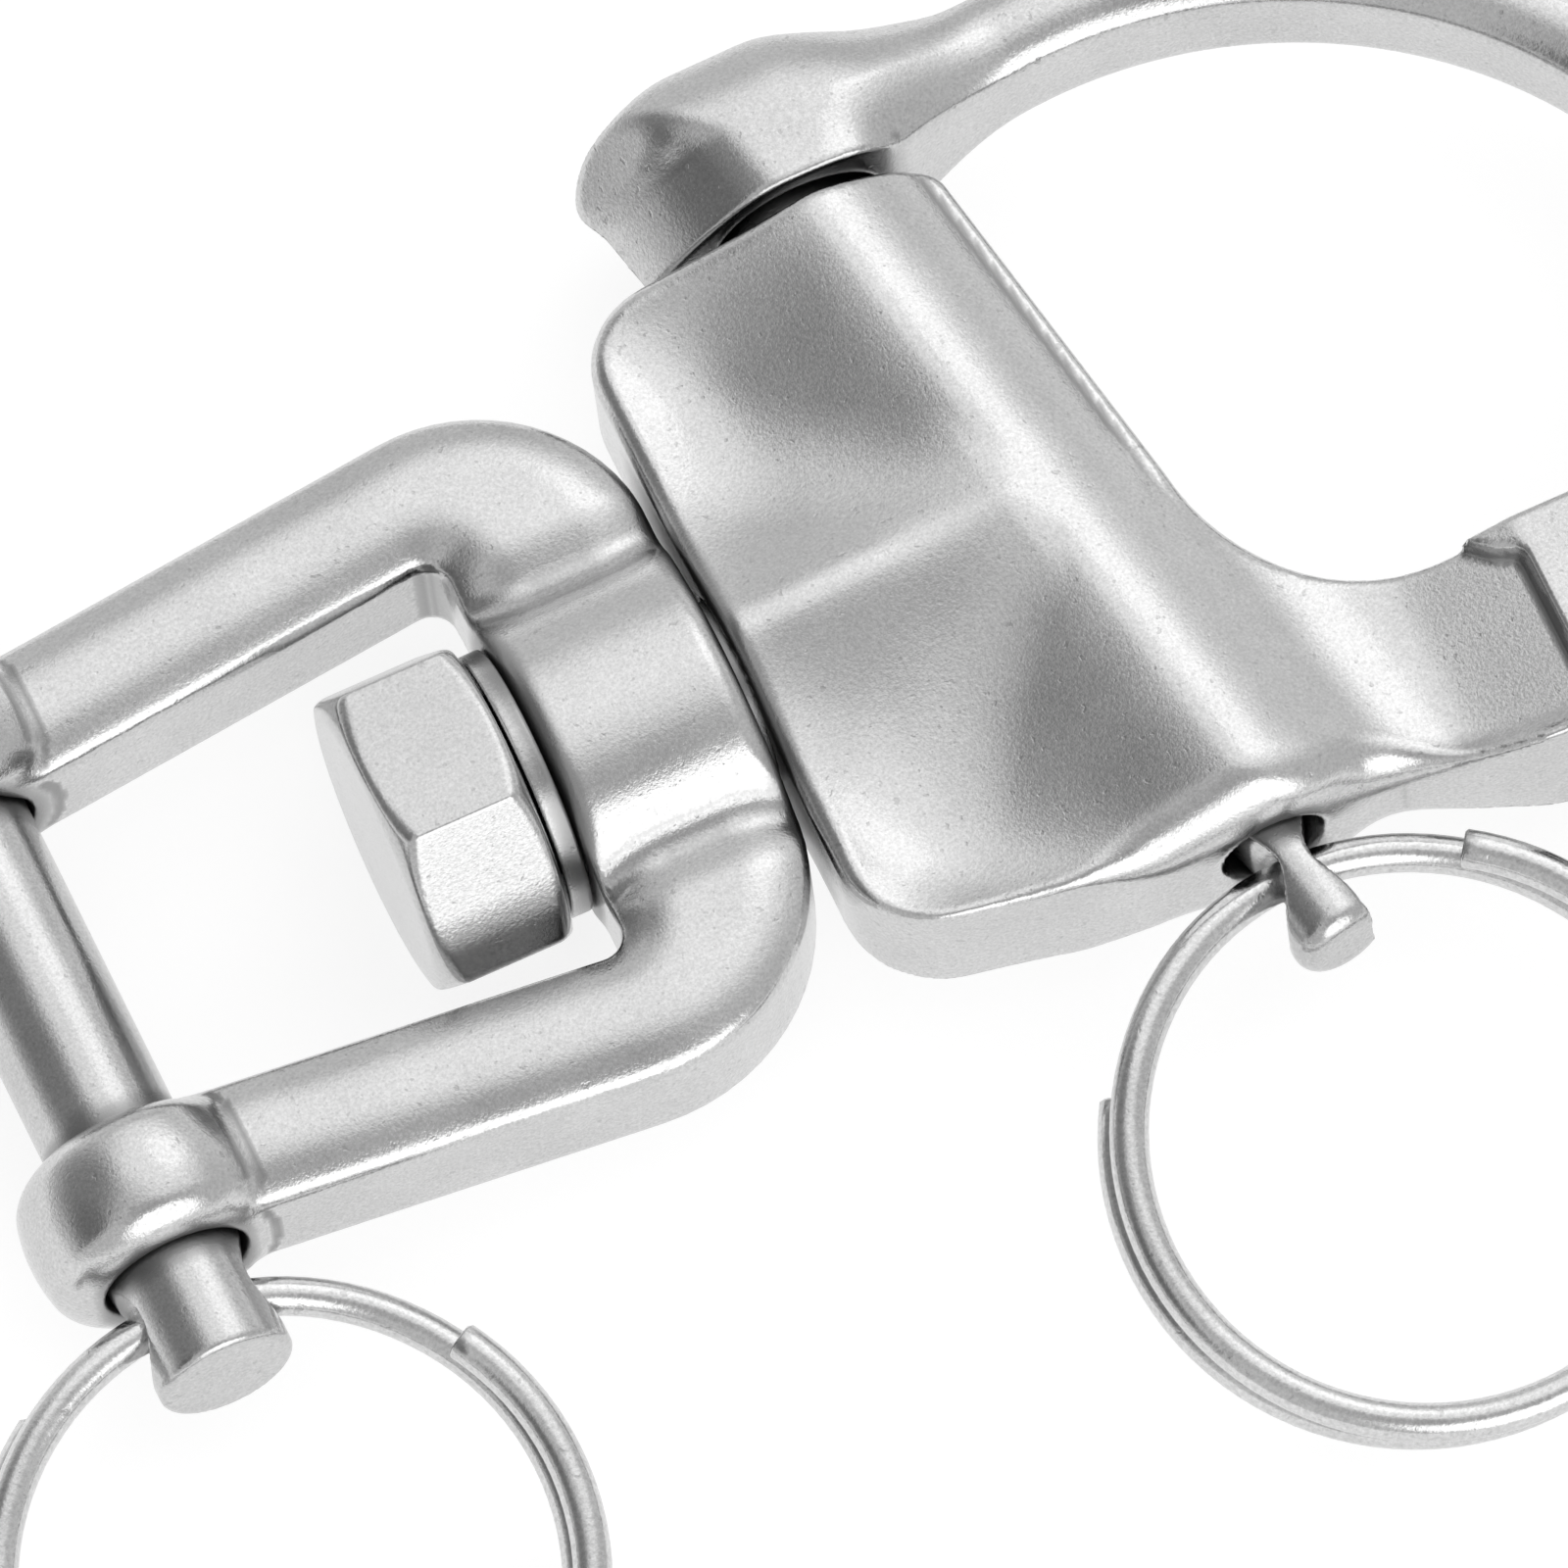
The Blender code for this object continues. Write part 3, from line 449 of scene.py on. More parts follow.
def body(x, y, z):
    """The cast body: a dished plate with a ridge, the plunger's barrel, and the arm with two cheeks."""
    flank = outline_distance(BODY, x, y)
    along, across = along_barrel(x, y)
    arm = smooth_step(x, *ARM_X)
    up = np.abs(z)
    thickened = np.clip((x - SWELL_X[0]) / (SWELL_X[1] - SWELL_X[0]), -1.0, 1.0)
    swell = (CHEEK_DEPTH - PLATE_DEPTH) / 4 * (thickened + np.hypot(thickened, SWELL_BEND))
    plate = up - PLATE_DEPTH / 2 - swell + dish(x, y, arm)
    rim = smooth_step(across, *RIM_ACROSS) * smooth_step(y, *RIM_Y)
    plate = plate + (up - RIM_HEIGHT - plate) * rim
    barrel = up - BARREL_DEPTH / 2 + tent(np.maximum(BARREL_CREST - across, 0), *BARREL_FALL)
    barrel = corner(barrel, (across + up) * math.sqrt(0.5) - BARREL_CHAMFER, BARREL_CHAMFER_R)
    ridge = up - RIDGE_TOP + tent(y - RIDGE_LEAN[0] - RIDGE_LEAN[1] * x, *RIDGE_FALL)
    for place, (sink, start, end) in ((x, RIDGE_SINK), (across, RIDGE_END)):
        ridge = ridge + sink * smooth_step(place, start, end)
    reach = BARREL_BLEND + (RIM_BLEND - BARREL_BLEND) * rim
    solid = smooth_union(plate, smooth_union(barrel, ridge, RIDGE_BLEND), reach)
    foot = smooth_step(y, *FOOT_Y) * smooth_step(np.abs(across), *FOOT_ACROSS)
    rounder = smooth_step(across, *PLATE_EDGE_ACROSS) * smooth_step(y, *PLATE_EDGE_Y) * (1 - foot)
    solid = corner(solid, flank, BODY_EDGE_R + PLATE_EDGE_R * rounder + FOOT_ROUNDING * foot)
    from_hinge = np.hypot(x - HINGE.x, y - HINGE.y)
    solid = np.minimum(solid, corner(from_hinge - CHEEK_R, up - CHEEK_DEPTH / 2, CHEEK_EDGE_R))
    solid = corner(solid, -np.maximum(up - TONGUE_DEPTH / 2 - GAP, SLOT_X - x), EDGE_R)
    solid = corner(solid, RIVET_R + RIVET_GAP - from_hinge, SMALL_R)
    bolt_hole = np.maximum(np.hypot(y, z) - BOLT_R - BORE_GAP, x - BOLT_END_X - GAP)
    solid = corner(solid, -bolt_hole, SMALL_R)
    across_plunger = np.hypot(across, z)
    head_bore = np.maximum(across_plunger - PLUNGER_HEAD_R - BORE_GAP, along - SPRING_SEAT)
    rod_bore = across_plunger - PLUNGER_ROD_R - ROD_GAP
    return corner(solid, -np.minimum(head_bore, rod_bore), LARGE_R)


def latch_end_x(y):
    """Where the latching end's leaning end is."""
    x, corner_y, lean = LATCH_END
    return x + lean * (corner_y - y)


def bail_outline(latch_in):
    """The bail seen square to its flat side. The latching end's flat inner edge is at a given Y."""
    outer_r = BAIL_INNER_R + BAIL_WIDTH
    low, high = BAIL_ARC
    inner = arc(BAIL_CENTRE, BAIL_INNER_R, high, low)
    eye = arc(HINGE.xy, TONGUE_R, *BAIL_EYE_ARC)
    outer = arc(BAIL_CENTRE, outer_r, low, BAIL_OUTER_END)
    heel_corner = outer[0] + BAIL_HEEL_RUN * Vector((math.sin(low), -math.cos(low)))
    heel = rounded([(*eye[-1], 0), (*heel_corner, BAIL_HEEL_R), (*outer[0], 0)])[1:-1]
    latch = rounded(
        [
            (*outer[-1 - NECK_STEPS], 0),
            (*outer[-1], NECK_R),
            *LATCH_CORNERS,
            (latch_end_x(latch_in), latch_in, LATCH_HEEL_R),
            (NECK_X, latch_in, 0),
        ]
    )
    return inner + eye + heel + outer[:-NECK_STEPS] + latch[1:]


BAIL = bail_outline(LATCH_IN)
BAIL_RISE = bail_outline(LATCH_IN - LATCH_INSET)  # the outline that the top is rounded towards


def bail(x, y, z):
    """The cast bail: a curved band with a thick latching end, and a tongue with the rivet's hole."""
    flank = outline_distance(BAIL, x, y)
    latch = smooth_step(x, *LATCH_X)
    width, rise = (b + (a - b) * latch for a, b in zip(LATCH_CROWN, BAIL_CROWN))
    start, steepness = LATCH_SLOPE
    lift, low, high = LATCH_LIFT
    slope = (start - latch_end_x(y)) / math.tan(LATCH_NOSE) + steepness * (x - start)
    slope = slope + lift * smooth_step(y, low, high)
    half = smooth_union(BAIL_DEPTH / 2 + (LATCH_DEPTH - BAIL_DEPTH) / 2 * latch, slope, LATCH_BLEND)
    solid = corner(crown(outline_distance(BAIL_RISE, x, y), z, half, width, rise), flank, EDGE_R)
    nose = np.abs(z) * math.sin(LATCH_NOSE) - (x - latch_end_x(y)) * math.cos(LATCH_NOSE)
    solid = corner(solid, nose, EDGE_R)
    from_hinge = np.hypot(x - HINGE.x, y - HINGE.y)
    solid = corner(solid, RIVET_R + RIVET_GAP - from_hinge, SMALL_R)
    room = np.maximum(from_hinge - CHEEK_R - CHEEK_ROOM, TONGUE_DEPTH / 2 - np.abs(z))
    solid = corner(solid, -room, EDGE_R)
    along, across = along_barrel(x, y)
    across_plunger = np.hypot(across, z)
    hole = np.maximum(across_plunger - PLUNGER_HEAD_R - LATCH_HOLE_GAP, PLUNGER_TIP - GAP - along)
    return corner(solid, -hole, LARGE_R)


def clevis_pin(x, y, z):
    """The headed pin through the fork's ears, with the cross hole for its split ring."""
    across = np.hypot(x - PIN.x, z)
    under = EAR_IN + EAR_LENGTH + GAP
    pin = corner(across - CLEVIS_PIN_R, np.maximum(CLEVIS_END_Y - y, y - under - OVERLAP), CLEVIS_END_R)
    head_ends = np.abs(y - under - CLEVIS_HEAD_H / 2) - CLEVIS_HEAD_H / 2
    head = corner(across - CLEVIS_HEAD_R, head_ends, CLEVIS_HEAD_EDGE_R)
    across_hole = np.hypot(y - CLEVIS_HOLE.y, z)
    hole = ring_hole(x - PIN.x, across_hole, CLEVIS_HOLE_R, CLEVIS_MOUTH_R, CLEVIS_STRAIGHT)
    return corner(np.minimum(pin, head), hole, FINE_R)


def plunger(x, y, z):
    """The plunger: a head that stands in the bail, and a thinner rod with the pull ring's cross hole."""
    along, across_flat = along_barrel(x, y)
    across = np.hypot(across_flat, z)
    rod_ends = np.maximum(PLUNGER_SHOULDER - OVERLAP - along, along - PLUNGER_TAIL)
    rod = corner(across - PLUNGER_ROD_R, rod_ends, PLUNGER_TAIL_R)
    chamfer = (across - PLUNGER_HEAD_R + PLUNGER_TIP - along + PLUNGER_CHAMFER) * math.sqrt(0.5)
    head_ends = np.maximum(np.maximum(PLUNGER_TIP - along, chamfer), along - PLUNGER_SHOULDER)
    head = corner(across - PLUNGER_HEAD_R, head_ends, LARGE_R)
    across_hole = np.hypot(y - PLUNGER_HOLE.y, z)
    hole = ring_hole(x - PLUNGER_HOLE.x, across_hole, PLUNGER_HOLE_R, PLUNGER_MOUTH_R)
    return corner(np.minimum(rod, head), hole, FINE_R)


def swivel_bolt(x, y, z):
    """The bolt that the jaw swivels on: a hexagon chamfered at both ends, and a plain shank."""
    flats = [y * math.sin(t) + z * math.cos(t) for t in (HEX_TURN + k * math.pi / 3 for k in range(3))]
    hexagon = np.maximum(np.maximum(np.abs(flats[0]), np.abs(flats[1])), np.abs(flats[2])) - HEX_FLAT
    low, high = HEX_X
    ends = np.abs(x - (low + high) / 2) - (high - low) / 2
    across = np.hypot(y, z)
    inset, slant = HEX_CHAMFER
    chamfer = (across - HEX_FLAT + inset + ends / math.tan(slant)) * math.sin(slant)
    head = corner(corner(hexagon, ends, LARGE_R), chamfer, HEX_CHAMFER_R)
    shank = corner(across - BOLT_R, np.maximum(x - BOLT_END_X, high - OVERLAP - x), LARGE_R)
    return np.minimum(head, shank)


def head_washer(x, y, z):
    """The thin washer between the hexagon and the jaw's hub."""
    across = np.hypot(y, z)
    low, high = WASHER_X
    ends = np.abs(x - (low + high) / 2) - (high - low) / 2
    return corner(corner(across - WASHER_R, BOLT_R + GAP - across, HAIR_R), ends, FINE_R)


def hinge_rivet(x, y, z):
    """The bail's hinge pin, with a low domed head on either side."""
    across = np.hypot(x - HINGE.x, y - HINGE.y)
    up = np.abs(z) - RIVET_UNDER
    dome_r = (RIVET_HEAD_R**2 + RIVET_HEAD_H**2) / (2 * RIVET_HEAD_H)
    dome = np.hypot(across, up - RIVET_DOME * RIVET_HEAD_H + dome_r) - dome_r
    head = corner(corner(dome, across - RIVET_HEAD_R, FINE_R), -up, HAIR_R)
    return np.minimum(head, np.maximum(across - RIVET_R, up - RIVET_OVERLAP))


def surface(field, low, high, cell=CELL):
    """The points, curvature and quads of the surface where a field is zero, between two corners."""
    axes = [np.arange(a - 2 * cell, b + 3 * cell, cell) for a, b in zip(low, high)]
    start = np.array([axis[0] for axis in axes])
    values = field(axes[0][:, None, None], axes[1][None, :, None], axes[2][None, None, :])
    inside = values < 0
    shape = tuple(n - 1 for n in values.shape)
    count = np.zeros(shape, np.int8)
    corners = [np.array((i, j, k)) for i in (0, 1) for j in (0, 1) for k in (0, 1)]
    for i, j, k in corners:
        count += inside[i : i + shape[0], j : j + shape[1], k : k + shape[2]]
    mixed = (count > 0) & (count < 8)
    cells = np.argwhere(mixed)
    index = np.full(shape, -1)
    index[mixed] = np.arange(len(cells))
    points, hits = np.zeros((len(cells), 3)), np.zeros(len(cells))
    at = [values[tuple((cells + c).T)] for c in corners]
    for i, a in enumerate(corners):
        for j, b in enumerate(corners):
            if (b - a).sum() != 1 or (b - a).min() < 0:
                continue
            crosses = (at[i] < 0) != (at[j] < 0)
            share = np.where(crosses, at[i] / np.where(crosses, at[i] - at[j], 1), 0)
            points += (a + share[:, None] * (b - a)) * crosses[:, None]
            hits += crosses
    points = start + cell * (cells + points / hits[:, None])
    return (*settle(field, points, cell), quads_of(inside, index))


def quads_of(inside, index):
    """One quad, facing outwards, round each grid edge that the surface crosses."""
    quads = []
    for axis in range(3):
        u, v = np.eye(3, dtype=int)[(axis + 1) % 3], np.eye(3, dtype=int)[(axis + 2) % 3]
        here = np.delete(inside, -1, axis)
        spots = np.argwhere(here != np.delete(inside, 0, axis))
        loop = np.stack([index[tuple((spots - step).T)] for step in (0 * u, u, u + v, v)], axis=1)
        outwards = here[tuple(spots.T)]
        quads.append(np.where(outwards[:, None], loop, loop[:, ::-1]))
    return np.concatenate(quads)


def settle(field, points, cell, rounds=3, reach=0.12, flattest=0.05):
    """Moves points onto the surface where a field is zero. It also gives the surface's curvature there."""
    for _ in range(rounds):
        x, y, z = points.T
        value = field(x, y, z)
        slope, bend = np.zeros_like(points), -6 * value
        for axis in range(3):
            step = np.zeros(3)
            step[axis] = reach
            ahead, behind = field(*(points + step).T), field(*(points - step).T)
            slope[:, axis] = (ahead - behind) / (2 * reach)
            bend = bend + ahead + behind
        steep = np.maximum((slope**2).sum(axis=1), flattest)
        shift = np.clip(value / steep, -cell / 2, cell / 2)
        points = points - shift[:, None] * slope
    return points, bend / reach**2


def to_world(points):
    """Points of the shackle's frame in the model's own frame."""
    return np.asarray(points) * MM + np.array(ORIGIN)


def new_piece(name, points, faces, node, body_name, slot, material):
    """A smooth mesh in the shackle's frame that stands for a node and rides with its body."""
    mesh = bpy.data.meshes.new(name)
    mesh.from_pydata(to_world(points).tolist(), [], [tuple(face) for face in faces])
    mesh.shade_smooth()
    mesh.materials.append(material)
    made = bpy.data.objects.new(name, mesh)
    bpy.context.scene.collection.objects.link(made)
    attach(made, body_name)
    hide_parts(node)
    return made


def new_casting(name, field, node, body_name, slot, material, near, cell=CELL):
    """A piece whose surface a field gives, with painted shade in its creases and close to other pieces'
    fields.
    """
    low, high = ((Vector(end) - ORIGIN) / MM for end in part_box(node))
    points, bend, quads = surface(field, low, high, cell)
    made = new_piece(name, points, quads.tolist(), node, body_name, slot, material)
    # Painted shade: a mask that darkens the metal in creases and where another piece comes close.
    painted_shade = smooth_step(bend, *PAINTED_SHADE_BEND)
    for other in near:
        painted_shade = np.maximum(painted_shade, smooth_step(other(*points.T), *PAINTED_SHADE_GAP))
    made.data.attributes.new("painted_shade", "FLOAT", "POINT").data.foreach_set("value", painted_shade.astype(np.float32))
    return made


def sweep(path, radius, sides=20, easing=0.15):
    """The points and faces of a round wire along a path, with its ends cut square and eased."""
    path = [Vector(p) for p in path]
    count = len(path)
    tangents = [(path[min(i + 1, count - 1)] - path[max(i - 1, 0)]).normalized() for i in range(count)]
    ease = radius * easing
    first, along = path[0], tangents[0]
    stations = [(first, along, radius - ease), (first + along * ease, along, radius)]
    stations += [(p, t, radius) for p, t in zip(path[1:-1], tangents[1:-1])]
    last, along = path[-1], tangents[-1]
    stations += [(last - along * ease, along, radius), (last, along, radius - ease)]
    side = tangents[0].orthogonal().normalized()
    points, faces = [], []
    for k, (at, tangent, r) in enumerate(stations):
        side = (side - tangent * side.dot(tangent)).normalized()
        other = tangent.cross(side)
        for i in range(sides):
            angle = 2 * math.pi * i / sides
            points.append(at + (side * math.cos(angle) + other * math.sin(angle)) * r)
        if k:
            before, now = (k - 1) * sides, k * sides
            for i in range(sides):
                j = (i + 1) % sides
                faces.append((before + i, before + j, now + j, now + i))
    faces.append(tuple(reversed(range(sides))))
    faces.append(tuple(range(len(points) - sides, len(points))))
    return points, faces


def ring_path(hole, yaw, fed, points_a_turn=96):
    """The wire of a split ring that passes once through a hole, from its lower end to its upper one."""
    radius = RING_D / 2 - RING_WIRE_R
    droop = math.asin(RING_REST / (2 * radius))
    turn = Matrix.Translation(hole) @ Matrix.Rotation(yaw, 4, "Z") @ Matrix.Rotation(droop, 4, "X")
    layer_angle = (RING_TURNS - 1) * 2 * math.pi
    count = round(RING_TURNS * points_a_turn)
    points = []
    for k in range(count + 1):
        run = RING_TURNS * 2 * math.pi * k / count
        climbed = float(smooth_step(run, layer_angle, 2 * math.pi))
        angle = math.pi / 2 + fed + run
        at = radius * Vector((math.cos(angle), math.sin(angle) - 1)) + (climbed - 0.5) * RING_SHIFT
        points.append(turn @ Vector((*at, (climbed - 0.5) * RING_LAYER)))
    return points


def spring_path(points_a_turn=36):
    """The wire of the spring round the plunger's rod, from the plunger's shoulder to the spring's seat."""
    radius = (PLUNGER_ROD_R + PLUNGER_HEAD_R + GAP) / 2
    start = PLUNGER_SHOULDER + GAP + SPRING_WIRE_R
    lift = SPRING_LENGTH - 2 * SPRING_WIRE_R
    count = SPRING_TURNS * points_a_turn
    points = []
    for k in range(count + 1):
        angle = 2 * math.pi * k / points_a_turn
        out = BARREL_ACROSS * math.cos(angle) + Vector((0, 0, 1)) * math.sin(angle)
        points.append(BARREL_AT + BARREL_AXIS * (start + lift * k / count) + out * radius)
    return points


# Metal. Noise runs from 0 to 1, and sizes are in millimetres.
PATCH_SIZE = 5.0  # of the broad patches of tone and gloss
NOISE_RANGE = (0.3, 0.7)  # noise that gives the darkest and the lightest tone, or the most and least gloss
TONES = (0.78, 1.15)  # the darkest and the lightest tone, over the metal's colour
FINE_SHARE = 0.7  # of the fine grain in the tone, where the broad patches have the rest
PIT_SIZE = 2.5  # over the grain's size
PIT_RANGE = (0.66, 0.74)  # noise where a pit starts, and where it is full
PIT_DARK = 0.25  # how much tone a pit takes away
PIT_DEPTH = 0.6  # over the grain's depth
GRAIN_DEPTH = 0.25  # over the grain's size
GLOSS_SPREAD = 0.04
CREASE_DARK = 0.55  # how much tone the painted shade in a crease takes away
CREASE_ROUGH = 0.15
PAINTED_SHADE_SHARE = 0.8  # share of the painted shade's dark grey in a crease
PAINTED_SHADE_TONE = 0.4  # tone of the painted shade's dark grey, over the metal's colour


def new_metal(name, colour, roughness, grain, grain_size):
    """Satin stainless steel: a fine mottled grain with small pits, rougher in creases and darkened there with
    painted shade.
    """
    made = bpy.data.materials.new(name)
    made.use_nodes = True
    nodes, links = made.node_tree.nodes, made.node_tree.links
    shader = nodes["Principled BSDF"]
    shader.inputs["Metallic"].default_value = 1

    def node(kind, **values):
        """A new node with some of its settings."""
        new = nodes.new(kind)
        for key, value in values.items():
            setattr(new, key, value)
        return new

    place = node("ShaderNodeTexCoord")

    def noise(size_mm, detail, rough=0.5):
        """Noise of a size, fixed to the piece."""
        new = node("ShaderNodeTexNoise")
        new.inputs["Scale"].default_value = 1 / (size_mm * MM)
        new.inputs["Detail"].default_value = detail
        new.inputs["Roughness"].default_value = rough
        links.new(place.outputs["Object"], new.inputs["Vector"])
        return new.outputs["Fac"]

    def remap(value, low, high, to_low, to_high):
        """A value stretched from one range to another, and held inside it."""
        new = node("ShaderNodeMapRange", clamp=True)
        for key, number in (("From Min", low), ("From Max", high), ("To Min", to_low), ("To Max", to_high)):
            new.inputs[key].default_value = number
        links.new(value, new.inputs["Value"])
        return new.outputs["Result"]

    def math_of(operation, a, b):
        """An operation on a socket, with another socket or a number."""
        new = node("ShaderNodeMath", operation=operation)
        links.new(a, new.inputs[0])
        if isinstance(b, (int, float)):
            new.inputs[1].default_value = b
        else:
            links.new(b, new.inputs[1])
        return new.outputs["Value"]

    def times(value, factor):
        """A socket's value times a number."""
        return math_of("MULTIPLY", value, factor)

    # Painted shade of creases and of gaps to other pieces, carried on the mesh.
    crease = node("ShaderNodeAttribute", attribute_name="painted_shade").outputs["Fac"]
    patches = noise(PATCH_SIZE, detail=3)
    fine = noise(grain_size, detail=2, rough=0.7)
    pits = remap(noise(grain_size * PIT_SIZE, detail=2), *PIT_RANGE, 0, 1)
    tone = node("ShaderNodeValToRGB")
    for stop, position, share in zip(tone.color_ramp.elements, NOISE_RANGE, TONES):
        stop.position = position
        stop.color = (*(min(c * share, 1) for c in colour), 1)
    mottle = math_of("ADD", times(patches, 1 - FINE_SHARE), times(fine, FINE_SHARE))
    # Pits are the metal's own marks; the crease part is painted shade.
    pits_and_shade = math_of("MAXIMUM", times(pits, PIT_DARK), times(crease, CREASE_DARK))
    links.new(math_of("SUBTRACT", mottle, pits_and_shade), tone.inputs["Fac"])
    # Painted shade: the tone is mixed towards a dark grey in creases and gaps.
    shaded_tone = node("ShaderNodeMix", data_type="RGBA")
    shaded_tone.inputs["B"].default_value = (*(c * PAINTED_SHADE_TONE for c in colour), 1)
    links.new(times(crease, PAINTED_SHADE_SHARE), shaded_tone.inputs["Factor"])
    links.new(tone.outputs["Color"], shaded_tone.inputs["A"])
    links.new(shaded_tone.outputs["Result"], shader.inputs["Base Color"])
    gloss = remap(patches, *NOISE_RANGE, roughness - GLOSS_SPREAD, roughness + GLOSS_SPREAD)
    links.new(math_of("ADD", gloss, times(crease, CREASE_ROUGH)), shader.inputs["Roughness"])
    height = math_of("SUBTRACT", fine, times(pits, PIT_DEPTH))
    bump = node("ShaderNodeBump")
    bump.inputs["Strength"].default_value = grain
    bump.inputs["Distance"].default_value = grain_size * GRAIN_DEPTH * MM
    links.new(height, bump.inputs["Height"])
    links.new(bump.outputs["Normal"], shader.inputs["Normal"])
    return made


CAST = new_metal("cast_stainless_look", (0.61, 0.61, 0.61), roughness=0.165, grain=0.32, grain_size=0.15)
TURNED = new_metal("turned_stainless_look", (0.56, 0.56, 0.56), roughness=0.18, grain=0.25, grain_size=0.15)
WIRE = new_metal("spring_stainless_look", (0.64, 0.64, 0.64), roughness=0.18, grain=0.2, grain_size=0.2)

new_casting("cast_body", body, "body", "body", "cast_stainless", CAST, [jaw, bail, plunger])
new_casting("cast_jaw", jaw, "jaw", "jaw", "cast_stainless", CAST, [body, clevis_pin, head_washer])
new_casting("cast_bail", bail, "bail", "bail", "cast_stainless", CAST, [body, plunger])
new_casting("headed_pin", clevis_pin, "clevis_pin", "clevis_pin", "turned_stainless", TURNED, [jaw], PIN_CELL)
new_casting(
    "latch_plunger", plunger, "plunger", "plunger", "turned_stainless", TURNED, [body, bail], PIN_CELL
)
new_casting("hex_bolt", swivel_bolt, "swivel_bolt", "body", "turned_stainless", TURNED, [jaw], BOLT_CELL)
new_casting("thin_washer", head_washer, "head_washer", "body", "turned_stainless", TURNED, [jaw], WASHER_CELL)
new_casting("domed_rivet", hinge_rivet, "hinge_rivet", "body", "turned_stainless", TURNED, [], PIN_CELL)

clevis_ring = sweep(ring_path(CLEVIS_HOLE, CLEVIS_RING_YAW, CLEVIS_RING_FED), RING_WIRE_R)
new_piece("clevis_split_ring", *clevis_ring, "clevis_ring", "clevis_ring", "spring_stainless", WIRE)
pull_ring = sweep(ring_path(PLUNGER_HOLE, PULL_RING_YAW, PULL_RING_FED), RING_WIRE_R)
new_piece("pull_split_ring", *pull_ring, "pull_ring", "pull_ring", "spring_stainless", WIRE)

coil = sweep(spring_path(), SPRING_WIRE_R, SPRING_WIRE_SIDES)
spring = new_piece("plunger_coil", *coil, "plunger_spring", "body", "spring_stainless", WIRE)
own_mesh(spring)


# Stage: the photograph's camera, a white floor, a surround with brighter and darker sides, and one soft light
CAMERA_FROM = Vector((-0.12, -0.40, 0.9087)).normalized()
CAMERA_ROLL = math.radians(23.7)
PIXELS_A_MM = 24.6
FRAME_SIDE = 1600
ORIGIN_PIXEL = (752.0, 704.8)
CAMERA_DISTANCE = 2.0
SENSOR_WIDTH = 36
FLOOR_HALF_SIDE = 4.0
FLOOR_GREY = 0.35
FLOOR_ROUGHNESS = 0.9
FLOOR_GLOW = 0.78  # keeps the floor white under the soft light
LIGHT_FROM = Vector((0.47, 0.4, 0.79)).normalized()
LIGHT_DISTANCE = 0.8
LIGHT_SIZE = 0.4
LIGHT_POWER = 0.15
SURROUND_LEVEL = 0.68
SURROUND_PATCHES = [  # direction, angles in degrees where a patch is full and where it ends, light level
    ((0.35, 0.38, 0.86), 14, 42, 1.25),  # high behind, on the right
    ((0, 1, 0.1), 12, 35, 0.75),  # low behind
    ((-0.68, 0.4, 0.61), 10, 36, 0.28),  # behind, on the left
    ((-0.12, -0.42, 0.9), 8, 24, 0.55),  # round the camera
    ((-0.88, 0.0, 0.5), 8, 24, 0.2),  # on the left
    ((0.83, 0.52, 0.0), 10, 30, 0.9),  # on the horizon, on the right
    ((0.1, -0.9, 0.42), 22, 31, 2.0),  # low in front
]


def camera_axes():
    """The picture's right and up."""
    level = (Vector((1, 0, 0)) - CAMERA_FROM * CAMERA_FROM.x).normalized()
    rise = CAMERA_FROM.cross(level)
    right = level * math.cos(CAMERA_ROLL) - rise * math.sin(CAMERA_ROLL)
    return right, CAMERA_FROM.cross(right)


def add_camera():
    """A camera far off, which puts the shackle's origin on its pixel of the photograph."""
    right, up = camera_axes()
    off_right = (FRAME_SIDE / 2 - ORIGIN_PIXEL[0]) / PIXELS_A_MM
    off_up = (ORIGIN_PIXEL[1] - FRAME_SIDE / 2) / PIXELS_A_MM
    aim = ORIGIN + (right * off_right + up * off_up) * MM
    data = bpy.data.cameras.new("camera")
    data.sensor_width = SENSOR_WIDTH
    data.lens = data.sensor_width * CAMERA_DISTANCE / (FRAME_SIDE / PIXELS_A_MM * MM)
    camera = bpy.data.objects.new("camera", data)
    turned = Matrix((right, up, CAMERA_FROM)).transposed().to_4x4()
    camera.matrix_world = Matrix.Translation(aim + CAMERA_FROM * CAMERA_DISTANCE) @ turned
    bpy.context.scene.collection.objects.link(camera)
    bpy.context.scene.camera = camera


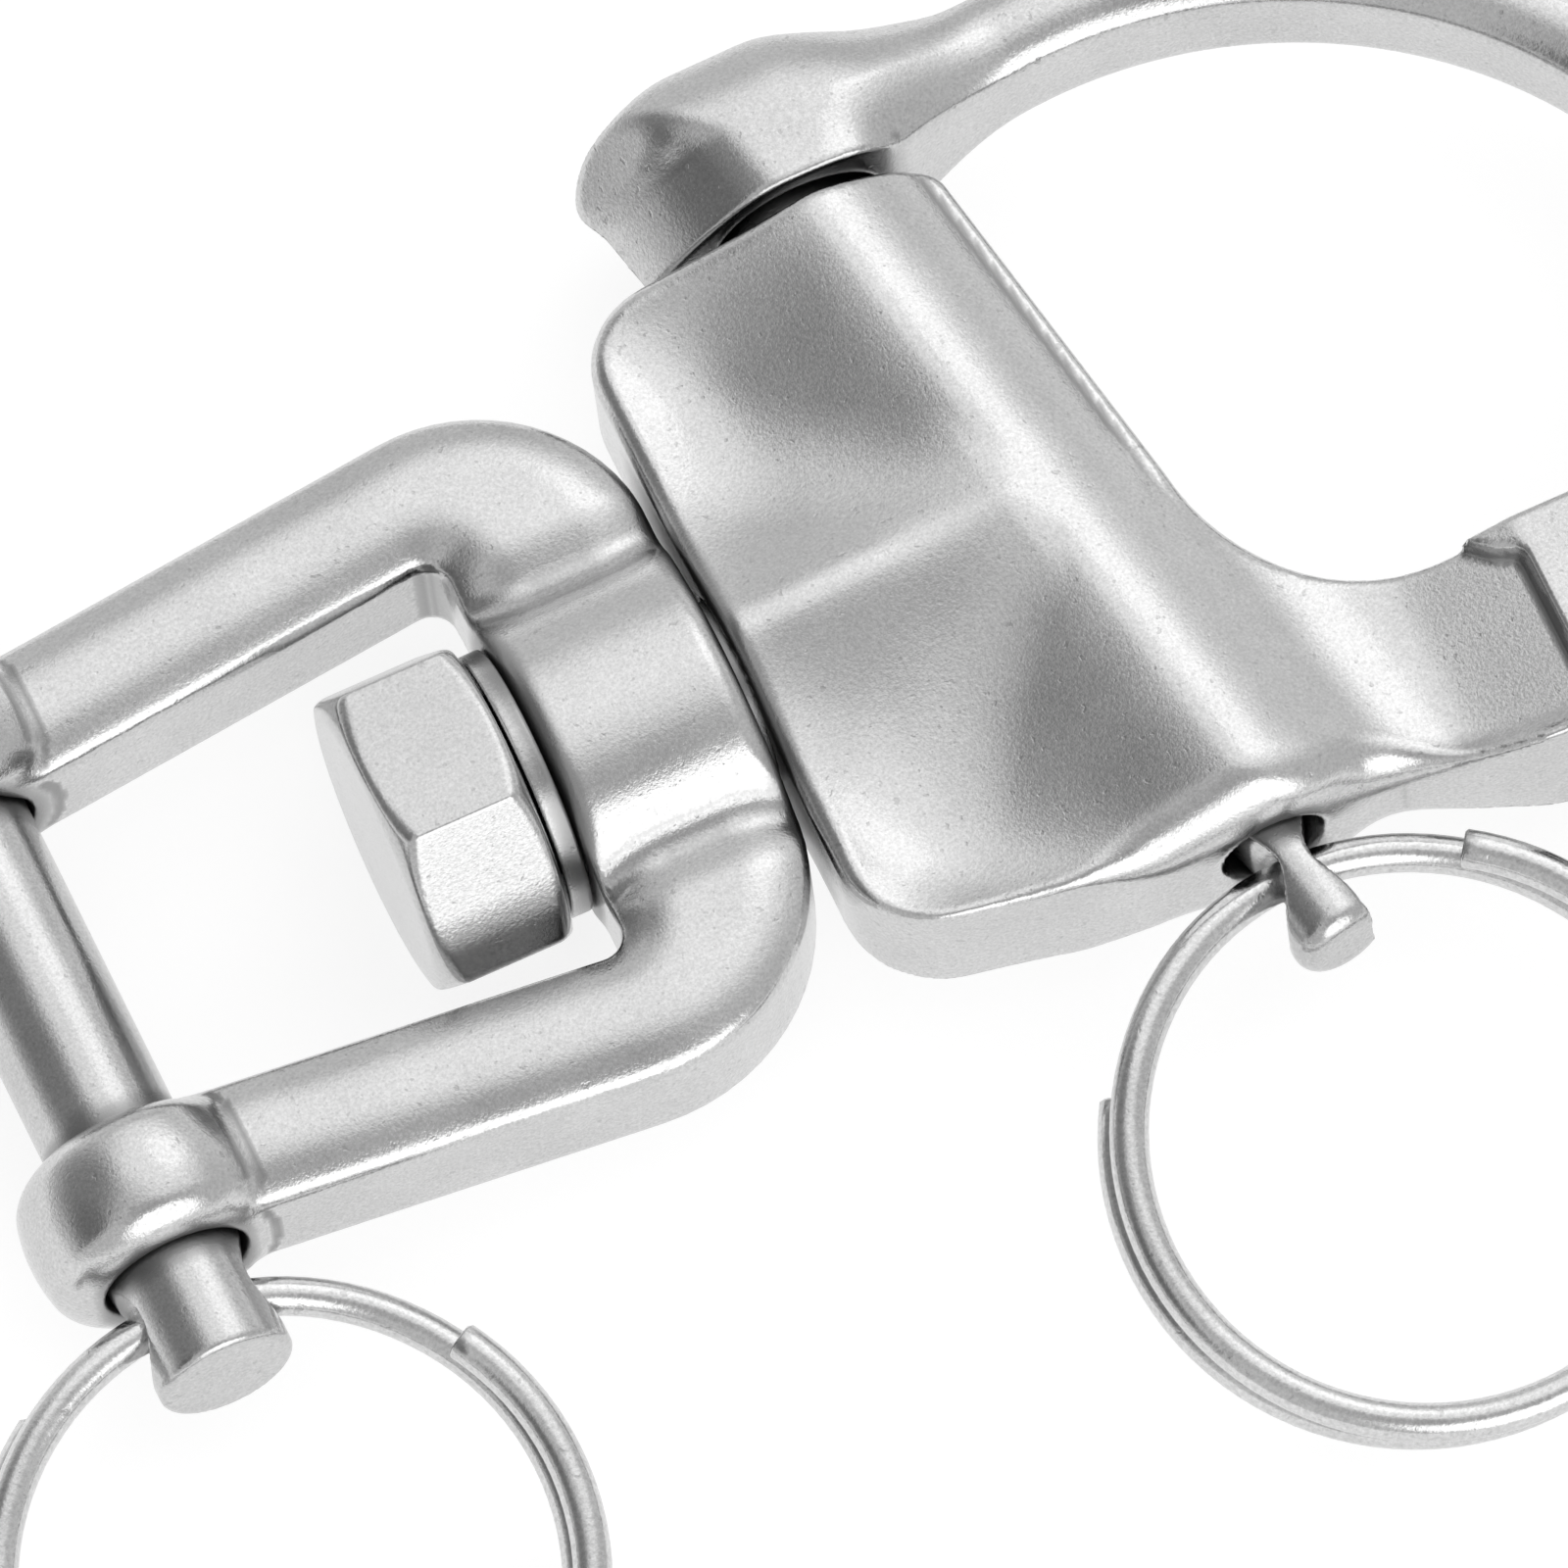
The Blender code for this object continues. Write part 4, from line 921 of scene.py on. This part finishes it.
def add_floor():
    """A plain white floor that glows a little."""
    side = FLOOR_HALF_SIDE
    mesh = bpy.data.meshes.new("floor")
    corners = [(-side, -side, 0), (side, -side, 0), (side, side, 0), (-side, side, 0)]
    mesh.from_pydata(corners, [], [(0, 1, 2, 3)])
    floor = bpy.data.objects.new("floor", mesh)
    bpy.context.scene.collection.objects.link(floor)
    look = bpy.data.materials.new("white_bench")
    look.use_nodes = True
    shader = look.node_tree.nodes["Principled BSDF"]
    shader.inputs["Base Color"].default_value = (FLOOR_GREY, FLOOR_GREY, FLOOR_GREY, 1)
    shader.inputs["Roughness"].default_value = FLOOR_ROUGHNESS
    shader.inputs["Specular IOR Level"].default_value = 0.0
    shader.inputs["Emission Color"].default_value = (1, 1, 1, 1)
    shader.inputs["Emission Strength"].default_value = FLOOR_GLOW
    mesh.materials.append(look)


def add_surround():
    """A white surround, with patches that are brighter or darker than the rest."""
    world = bpy.data.worlds.new("studio")
    bpy.context.scene.world = world
    world.use_nodes = True
    nodes, links = world.node_tree.nodes, world.node_tree.links
    background = nodes["Background"]
    background.inputs["Color"].default_value = (1, 1, 1, 1)
    direction = nodes.new("ShaderNodeTexCoord").outputs["Generated"]

    def patch(towards, near, far):
        """1 within the angle near of a direction, falling to 0 at the angle far."""
        dot = nodes.new("ShaderNodeVectorMath")
        dot.operation = "DOT_PRODUCT"
        dot.inputs[1].default_value = Vector(towards).normalized()
        links.new(direction, dot.inputs[0])
        step = nodes.new("ShaderNodeMapRange")
        step.interpolation_type = "SMOOTHSTEP"
        step.inputs["From Min"].default_value = math.cos(math.radians(far))
        step.inputs["From Max"].default_value = math.cos(math.radians(near))
        links.new(dot.outputs["Value"], step.inputs["Value"])
        return step.outputs["Result"]

    def lit(level, share, amount):
        """A light level with an amount mixed in where a patch says so."""
        mix = nodes.new("ShaderNodeMix")
        mix.inputs["B"].default_value = amount
        links.new(share, mix.inputs["Factor"])
        if isinstance(level, float):
            mix.inputs["A"].default_value = level
        else:
            links.new(level, mix.inputs["A"])
        return mix.outputs["Result"]

    level = SURROUND_LEVEL
    for towards, near, far, amount in SURROUND_PATCHES:
        level = lit(level, patch(towards, near, far), amount)
    links.new(level, background.inputs["Strength"])


def add_light():
    """One broad soft light from above and behind."""
    data = bpy.data.lights.new("overhead", "AREA")
    data.shape = "DISK"
    data.size = LIGHT_SIZE
    data.energy = LIGHT_POWER
    light = bpy.data.objects.new("overhead", data)
    light.location = ORIGIN + LIGHT_FROM * LIGHT_DISTANCE
    light.rotation_mode = "QUATERNION"
    light.rotation_quaternion = LIGHT_FROM.to_track_quat("Z", "Y")
    bpy.context.scene.collection.objects.link(light)


add_camera()
add_floor()
add_surround()
add_light()
bpy.context.scene.view_settings.view_transform = "Standard"
